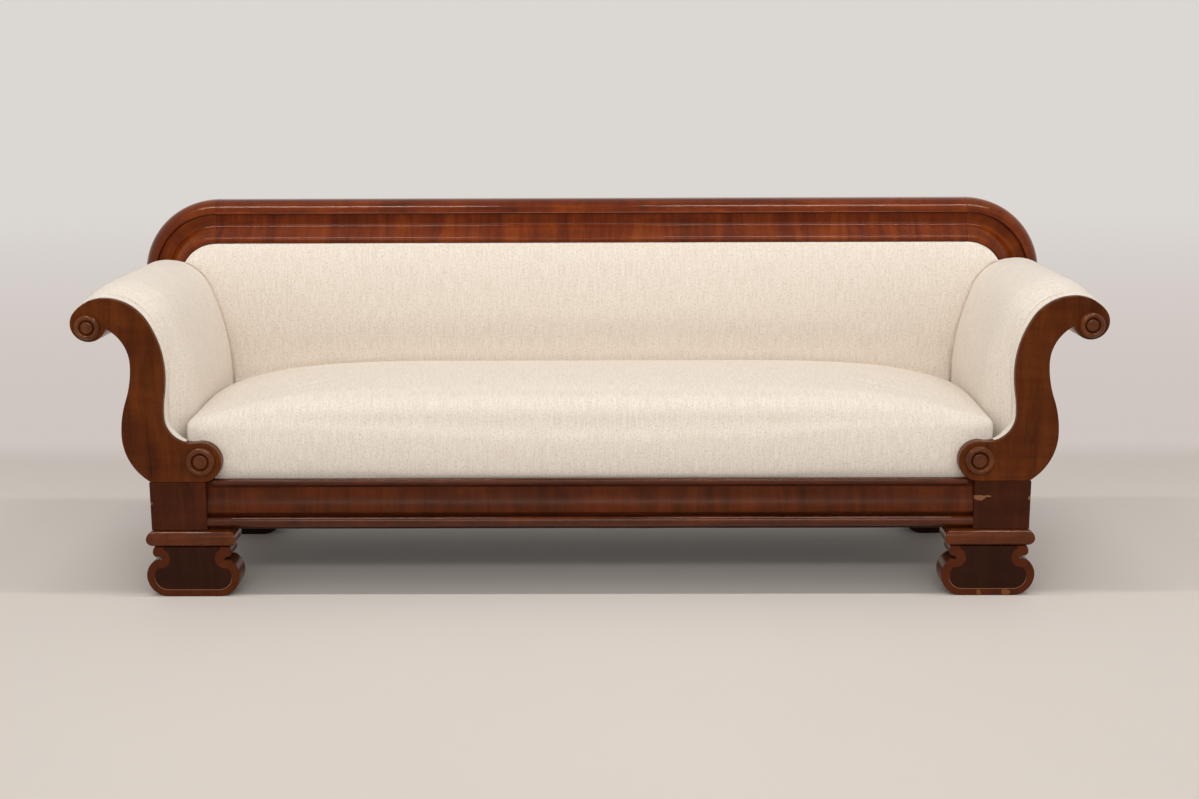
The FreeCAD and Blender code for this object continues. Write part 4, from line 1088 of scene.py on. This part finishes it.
def back_pad():
    """Crowned pad between the arm pads, under the crest, tucked in round its edge."""
    arm = trace(arm_section(1.0, 0.6), counts=ARM_COUNTS)
    rise = arm[-sum(ARM_COUNTS[-3:]):][::-1]
    top = CREST_LOW_Z - GAP
    bottom = BLOCK_Z + GAP
    levels = np.concatenate([np.linspace(bottom, 360, 8)[:-1], np.linspace(360, 600, 44)[:-1],
                             np.linspace(600, 676, 24)[:-1], np.linspace(676, top, 30)])
    reach = []
    for z in levels:
        limit = np.interp(z, rise[:, 1], rise[:, 0], right=1e4)
        if z > CORNER_Z:
            turn = math.sqrt(max(CREST_INNER_ROUND ** 2 - (z - CORNER_Z) ** 2, 0))
            limit = min(limit, CORNER_X + turn)
        reach.append(limit)
    reach = np.array(reach)
    right = np.column_stack([reach, levels])
    border = np.vstack([right, (right * [-1, 1])[::-1]])
    across = np.sin(np.linspace(-90, 90, 181) * math.pi / 180) * 0.5 + np.linspace(-1, 1, 181) * 0.5
    tuck = 3.5
    rings = []
    for z, limit in zip(levels, reach):
        flap = max(min(limit + 22, BASE_X - 60), limit + 0.1)
        x = np.concatenate([[-flap, -limit - 0.05], across * limit, [limit + 0.05, flap]])
        points = np.column_stack([x, np.full(len(x), z)])
        depth = np.minimum(edge_distance(points, border, np.roll(border, -1, 0)), tuck)
        y = back_face(x, z) + tuck - np.sqrt(tuck ** 2 - (tuck - depth) ** 2)
        y[[0, 1, -2, -1]] = np.maximum(y[[0, 1, -2, -1]], POST_Y + 1)
        y = np.minimum(y, FRAME_Y - 5)
        front = np.column_stack([x, y, points[:, 1]])
        rear_x = np.linspace(flap, -flap, 10)
        rear = np.column_stack([rear_x, np.full(10, FRAME_Y - 4.4), np.full(10, z)])
        rings.append(np.vstack([front, rear]))
    rings = np.stack(rings)
    points = looped(rings)
    uv = np.stack([points[..., 0], points[..., 2]], -1)
    piece = loft("back_upholstery", rings, FABRIC, "ivory_fabric", ["back_pad"], uv)
    rim = edge_distance(rings.reshape(-1, 3)[:, [0, 2]], border, np.roll(border, -1, 0))
    behind = np.tile(np.arange(rings.shape[1]) >= len(across) + 2, len(rings))
    low = rings.reshape(-1, 3)[:, 2] < seat_level(rings.reshape(-1, 3)[:, 0]) - 6
    settle(piece, (rim < 2) | behind | low, 4.0)
    return piece


def seat_section(level, edge):
    """Seat profile: boxing, rolled front edge, crowned top, and the hidden rear and underside."""
    floor, fall = BLOCK_Z + GAP, 12.0
    rear = (SEAT_REAR_Y, level - fall)
    front = (SEAT_FRONT_Y + edge, level - fall / 2)
    chord = rear[0] - front[0]
    crown = (chord ** 2 / 4 + fall ** 2) / (2 * fall)
    return [((SEAT_REAR_Y, floor), None, 0), (rear, crown, 1), (front, edge, 1),
            ((SEAT_FRONT_Y, front[1] - edge), None, 0), ((SEAT_FRONT_Y, floor), None, 0)]


SEAT_COUNTS = [10, 70, 16, 24, 12]
SEAT_SOFT = 10.0
SEAT_REACH = 6.0
SEAT_EDGE, SEAT_END_EDGE = 46.0, 18.0
SEAT_SWELL = 4.0


def seat_pad():
    """Tight crowned seat; its ends drop and round over against the arm pads."""
    inner = np.linspace(-1, 1, 241) * (SEAT_END_X - SEAT_SOFT)
    curve = SEAT_SOFT * (1 - np.cos(np.radians(np.linspace(0, 90, 9)[1:])))
    ends = SEAT_END_X - curve
    places = np.unique(np.round(np.concatenate([-ends, inner, ends]), 4))
    rings = []
    for x in places:
        level = seat_level(x)
        edge = SEAT_EDGE - (SEAT_EDGE - SEAT_END_EDGE) * (abs(x) / SEAT_END_X) ** 8
        section = trace(seat_section(level, edge), counts=SEAT_COUNTS)
        gap = SEAT_END_X - abs(x)
        draw = SEAT_SOFT - math.sqrt(SEAT_SOFT ** 2 - (SEAT_SOFT - min(gap, SEAT_SOFT)) ** 2)
        section = inset(anticlockwise(section), draw)
        height = np.clip((section[:, 1] - BLOCK_Z) / (level - 52 - BLOCK_Z), 0, 1)
        front = np.clip((SEAT_FRONT_Y + 60 - section[:, 0]) / 60, 0, 1)
        section[:, 0] -= SEAT_SWELL * np.sin(math.pi * height) * front
        near_front = np.clip(1 - (section[:, 0] - SEAT_FRONT_Y) / ARM_SOFT, 0, 1) ** 2
        near_end = max(1 - gap / 60, 0) ** 2
        rings.append(np.column_stack([x + math.copysign(SEAT_REACH, x) * near_front * near_end, section]))
    rings = np.stack(rings)
    points = looped(rings)
    girth = lengths_along(points[len(points) // 2])
    uv = np.stack([points[..., 0], np.broadcast_to(girth, points.shape[:2])], -1)
    piece = loft("seat_upholstery", rings, FABRIC, "ivory_fabric", ["seat_pad"], uv)
    ends = np.abs(rings[..., 0]) > SEAT_END_X - SEAT_SOFT
    hidden = (rings[..., 2] < BLOCK_Z + 6) | (rings[..., 1] > SEAT_REAR_Y - 1)
    settle(piece, (ends | hidden).ravel(), 4.0)
    return piece


for side, way in SIDES.items():
    arm_pad(side, way)
back_pad()
seat_pad()


# Fabric on the outside of arms and back, dust cloth below
def outside_arm(side, way):
    """Cloth stretched down the outer side of the arm."""
    step = 4.0
    closing = math.ceil(math.dist(SCROLL_CORNER, TOE) / step) - 1
    outer, inner = (trace(outer_side(shift), step)[:-closing] for shift in (1.0, 4.0))
    strip = np.vstack([outer, inner[::-1]])
    strip = strip if way > 0 else mirror(strip)
    places = np.linspace(BOARD_Y + 0.3, POST_Y - 0.3, 40)
    rings = np.stack([at_depth(strip, y) for y in places])
    piece = loft(f"outside_arm_{side}", rings, FABRIC, "ivory_fabric", [f"outside_arm_cover_{side}"],
                 along_y(rings))


def panel(name, x_span, y_span, place, material, slot, node):
    """Thin stretched cloth panel: place(x, y, layer) gives the points of its two faces."""
    columns = np.linspace(*x_span, 90)
    rows = np.linspace(*y_span, 40)
    rings = []
    for row in rows:
        near = np.array([place(x, row, 0) for x in columns])
        far = np.array([place(x, row, 1) for x in columns[::-1]])
        rings.append(np.vstack([near, far]))
    rings = np.stack(rings)
    points = looped(rings)
    uv = np.stack([points[..., 0], points[..., 1] + points[..., 2]], -1)
    piece = loft(name, rings, material, slot, [node], uv)


def rounding(value, low, high, soft):
    """0 at both ends of a span and 1 inside it, with quarter-round shoulders."""
    gap = min(min(value - low, high - value) / soft, 1)
    return math.sqrt(max(1 - (1 - gap) ** 2, 0))


LAP = 5.0
REAR_INNER_ROUND = 83.0


def rear_reach(z):
    """Half width of the rear cover: lapped onto the posts, then onto the turned crest."""
    if z > CORNER_Z:
        return CORNER_X + math.sqrt(max(REAR_INNER_ROUND ** 2 - (z - CORNER_Z) ** 2, 0)) + LAP
    inner = rear_scroll[(np.abs(rear_scroll[:, 1] - z) < 4) & (rear_scroll[:, 0] < 1000)]
    edge = inner[:, 0].min() if len(inner) else BASE_X - POST_WIDTH
    return max(min(edge, CORNER_X + REAR_INNER_ROUND), BASE_X - 61) + (LAP if z > BLOCK_Z else 0)


def back_cloth(share, z, layer):
    """Outside back cover at a share of its half width."""
    x = share * rear_reach(z)
    if layer:
        return (x, REAR_Y + 0.05, z)
    side = rear_reach(z) - abs(x)
    fullness = rounding(side, 0, 1e4, 9) * rounding(z, BASE_Z, CREST_LOW_Z + LAP, 9)
    ripple = noise.noise(Vector((x / 180, z / 150, 3)))
    return (x, REAR_Y + 0.6 + 2.3 * fullness + 0.4 * ripple, z)


DUST_X = 769
DUST_FRONT, DUST_REAR = -251, 279
DUST_Z = 146.9


def under_cloth(x, y, layer):
    """Dust cloth under the frame, sagging a little."""
    sag = 4.0 * rounding(x, -DUST_X, DUST_X, 300) * rounding(y, DUST_FRONT, DUST_REAR, 200)
    sag += 0.8 * noise.noise(Vector((x / 90, y / 90, 9)))
    return (x, y, DUST_Z + layer - sag * 0.5)


SPRING_PITCH = 212.0
SPRING_ROW = 128.0
SPRING_Y = 8.0
DECK_Z = 328.4


def deck_cloth(x, y, layer):
    """Hessian over the springs, dipping a little between them."""
    column = math.cos(2 * math.pi * x / SPRING_PITCH)
    row = math.cos(2 * math.pi * (y - SPRING_Y) / SPRING_ROW)
    dip = 0.7 - 0.7 * column * row
    return (x, y, DECK_Z - dip - (1.3 if layer else 0))


def ribbon(start, end, across, up):
    """Rings of a jute strap from start to end with eased edges."""
    start, end, across, up = (np.array(vector, float) for vector in (start, end, across, up))
    half, thin = 26.0, 1.0
    section = np.array([(-half, -thin * 0.4), (1 - half, -thin), (half - 1, -thin), (half, -thin * 0.4),
                        (half, thin * 0.4), (half - 1, thin), (1 - half, thin), (-half, thin * 0.4)])
    middle = [start + (end - start) * share for share in np.linspace(0, 1, 60)]
    return np.stack([point + section[:, :1] * across + section[:, 1:] * up for point in middle])


def coil(x, y):
    """Rings of wire along an hourglass spring with flat end turns."""
    turns, wire, bottom, top = 6.0, 2.0, 152.2, 325.8
    shares = np.linspace(0, 1, 145)
    climb = np.clip((shares * turns - 0.7) / (turns - 1.4), 0, 1)
    angle = 2 * math.pi * turns * shares
    reach = 28 + 12 * (2 * climb - 1) ** 2
    out = np.column_stack([np.cos(angle), np.sin(angle), np.zeros(len(angle))])
    path = out * reach[:, None] + np.column_stack([np.full(len(angle), x), np.full(len(angle), y),
                                                   bottom + wire + (top - bottom - 2 * wire) * climb])
    ahead = np.gradient(path, axis=0)
    side = np.cross(ahead, out)
    side /= np.linalg.norm(side, axis=1)[:, None]
    out = np.cross(side, ahead / np.linalg.norm(ahead, axis=1)[:, None])
    spokes = np.radians(np.arange(0, 360, 60))[:, None]
    return path[:, None] + wire * (np.cos(spokes) * out[:, None] + np.sin(spokes) * side[:, None])


def bundle(name, strands, material, slot, node):
    """Several straps or wires that stand for one node."""
    return make_piece(name, *gather([(rings, ring_uv(rings)) for rings in strands]), material, slot, [node])


SEAT_STRAP_Z, CROSS_STRAP_Z = 149, 151
BACK_STRAP_Y, CROSS_STRAP_Y = 243, 241
columns = [SPRING_PITCH * column for column in range(-3, 4)]
rows = [SPRING_Y + SPRING_ROW * row for row in range(-1, 2)]
(seat_left, seat_near, _), (seat_right, seat_far, _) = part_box("seat_webbing")
straps = [ribbon((x, seat_near / MM, SEAT_STRAP_Z), (x, seat_far / MM, SEAT_STRAP_Z), (1, 0, 0), (0, 0, 1))
          for x in columns]
straps += [ribbon((seat_left / MM, y, CROSS_STRAP_Z), (seat_right / MM, y, CROSS_STRAP_Z),
                  (0, 1, 0), (0, 0, 1)) for y in rows]
bundle("seat_straps", straps, WEBBING, "webbing", "seat_webbing")
bundle("coil_springs", [coil(x, y) for x in columns for y in rows], STEEL, "spring_steel", "seat_springs")
(back_left, _, back_low), (back_right, _, back_high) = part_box("back_webbing")
rail_low, rail_high = (corner[2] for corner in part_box("back_lower_rail"))
back_level = (back_low + back_high + rail_high - rail_low) / 2 / MM
straps = [ribbon((x, BACK_STRAP_Y, back_low / MM), (x, BACK_STRAP_Y, back_high / MM), (1, 0, 0), (0, -1, 0))
          for x in columns]
straps.append(ribbon((back_left / MM, CROSS_STRAP_Y, back_level),
                     (back_right / MM, CROSS_STRAP_Y, back_level), (0, 0, 1), (0, -1, 0)))
bundle("back_straps", straps, WEBBING, "webbing", "back_webbing")
panel("deck_cloth", (-822, 822), (-194, 210.6), deck_cloth, HESSIAN, "hessian", "spring_deck")
for side, way in SIDES.items():
    outside_arm(side, way)
heights = np.linspace(150.2, CREST_LOW_Z + LAP - 0.3, 200)
panel("outside_back", (-1, 1), (heights[0], heights[-1]), back_cloth, FABRIC, "ivory_fabric",
      "outside_back_cover")
panel("under_cloth", (-DUST_X, DUST_X), (DUST_FRONT + 0.5, DUST_REAR - 0.5), under_cloth, DUST_CLOTH,
      "dust_cloth", "dust_cover")


# Construction parts that keep their modelled shape
def finish_nodes(material, *labels):
    """Gives CAD nodes that are shown as they are their material."""
    for label in labels:
        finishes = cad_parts[label].data.materials
        finishes.clear()
        finishes.append(material)


finish_nodes(FRAME_WOOD["x"], "front_seat_rail", "rear_seat_rail")
finish_nodes(INNER_WOOD["x"], "back_lower_rail", "back_upper_rail", "corner_glue_blocks")
finish_nodes(INNER_WOOD["y"], "seat_braces")
finish_nodes(INNER_WOOD["z"], "foot_tenons", "crest_tenons")
for side in SIDES:
    finish_nodes(FRAME_WOOD["y"], f"side_seat_rail_{side}")
    finish_nodes(INNER_WOOD["y"], f"arm_roll_rail_{side}", f"arm_tack_rail_{side}")
    finish_nodes(INNER_WOOD["z"], f"back_stile_{side}")

# Floor, light and camera
WALL_Y = 1.03
FAR_Y = 9.0
FLOOR_HALF = 14.0
# Darker backdrop colour at the wall's foot: painted shade.
WALL_FOOT_SHADE = (0.625, 0.56, 0.53)
BACKDROP = (0.71, 0.68, 0.65)
FRONT_LIGHT, REAR_LIGHT, TOP_SHARE = 1.42, 0.5, 0.3


def floor_material():
    """Pale floor that passes into a glowing backdrop behind the sofa, with painted shade that makes the
    backdrop darker at its foot and lighter further back.
    """
    graph = Graph("studio_floor")
    place = graph.place()
    depth = graph.split(place)[1]
    cloud = graph.noise(place, (0.9, 0.9, 0.0), 3)
    colour = graph.mix(cloud, (0.68, 0.625, 0.57), (0.73, 0.675, 0.625))
    graph.finish(Base_Color=colour, Roughness=0.7, Specular_IOR_Level=0.2)
    # Painted shade: the backdrop's glow is darker near the wall line and grows lighter further back.
    far = graph.span(depth, WALL_Y, FAR_Y)
    glow = graph.node("ShaderNodeEmission", 0, {0: graph.mix(far, WALL_FOOT_SHADE, BACKDROP)})
    behind = graph.span(depth, WALL_Y - 0.1, WALL_Y + 0.2)
    shown = graph.times(graph.seen(), behind)
    blend = graph.node("ShaderNodeMixShader", 0, {0: shown, 1: graph.shader.outputs[0], 2: glow})
    graph.feed(graph.find("OUTPUT_MATERIAL").inputs[0], blend)
    return graph.material


mesh = bpy.data.meshes.new("floor")
corners = [(-1, -1), (1, -1), (1, 1), (-1, 1)]
mesh.from_pydata([(x * FLOOR_HALF, y * FLOOR_HALF, 0) for x, y in corners], [], [(0, 1, 2, 3)])
mesh.materials.append(floor_material())
floor = bpy.data.objects.new("floor", mesh)
bpy.context.scene.collection.objects.link(floor)

world = bpy.data.worlds.new("studio")
world.use_nodes = True
bpy.context.scene.world = world
sky = Nodes(world.node_tree)
_, rearward, up = sky.split(sky.node("ShaderNodeTexCoord", "Generated"))
level = sky.span(rearward, -1.0, 1.0, FRONT_LIGHT, REAR_LIGHT, "LINEAR")
share = sky.span(up, 0.0, 1.0, 1.0, TOP_SHARE, "LINEAR")
light = sky.find("BACKGROUND")
sky.feed(light.inputs["Color"], (1.0, 0.99, 0.98, 1))
sky.feed(light.inputs["Strength"], sky.times(level, share))
backdrop = sky.node("ShaderNodeBackground", 0, {"Color": (*BACKDROP, 1)})
choice = sky.node("ShaderNodeMixShader", 0, {0: sky.seen(), 1: light.outputs[0], 2: backdrop})
sky.feed(sky.find("OUTPUT_WORLD").inputs[0], choice)


def soft_light(name, place, aim, width, height, power):
    """Rectangular lamp at a place, turned to face another."""
    data = bpy.data.lights.new(name, "AREA")
    data.shape = "RECTANGLE"
    data.size, data.size_y = width, height
    data.energy = power
    data.color = (1.0, 0.98, 0.96)
    lamp = bpy.data.objects.new(name, data)
    lamp.location = place
    lamp.rotation_euler = (Vector(aim) - Vector(place)).to_track_quat("-Z", "Y").to_euler()
    bpy.context.scene.collection.objects.link(lamp)


AIM_Z = 0.4
soft_light("overhead_left", (-1.3, -0.45, 3.1), (-1.3, 0.0, AIM_Z), width=1.8, height=0.1, power=23.5)
soft_light("overhead_right", (1.25, -0.45, 3.1), (1.25, 0.0, AIM_Z), width=2.1, height=0.1, power=26.5)
soft_light("front_soft", (0.0, -3.6, 2.5), (0.0, 0.0, AIM_Z), width=3.2, height=0.35, power=36)

PHOTO_WIDTH = 1199
FOCAL_PIXELS = 1695.6
SENSOR_WIDTH = 36
CAMERA_PLACE = (0.04624, -3.83642, 1.1849)
TILT, YAW, ROLL = 0.206065, -0.006728, 0.003646


def turned(first, second, angle):
    """Two directions at right angles turned together, the first towards the second."""
    cosine, sine = math.cos(angle), math.sin(angle)
    return cosine * first + sine * second, cosine * second - sine * first


right = Vector((math.cos(YAW), -math.sin(YAW), 0))
ahead = Vector((math.sin(YAW), math.cos(YAW), 0))
down = Vector((0, 0, -1))
ahead, down = turned(ahead, down, TILT)
right, down = turned(right, down, ROLL)
lens = bpy.data.cameras.new("camera")
lens.sensor_width = SENSOR_WIDTH
lens.lens = FOCAL_PIXELS * SENSOR_WIDTH / PHOTO_WIDTH
camera = bpy.data.objects.new("camera", lens)
camera.matrix_world = Matrix((right, -down, -ahead)).transposed().to_4x4()
camera.location = CAMERA_PLACE
bpy.context.scene.collection.objects.link(camera)
bpy.context.scene.camera = camera
bpy.context.scene.view_settings.view_transform = "Standard"
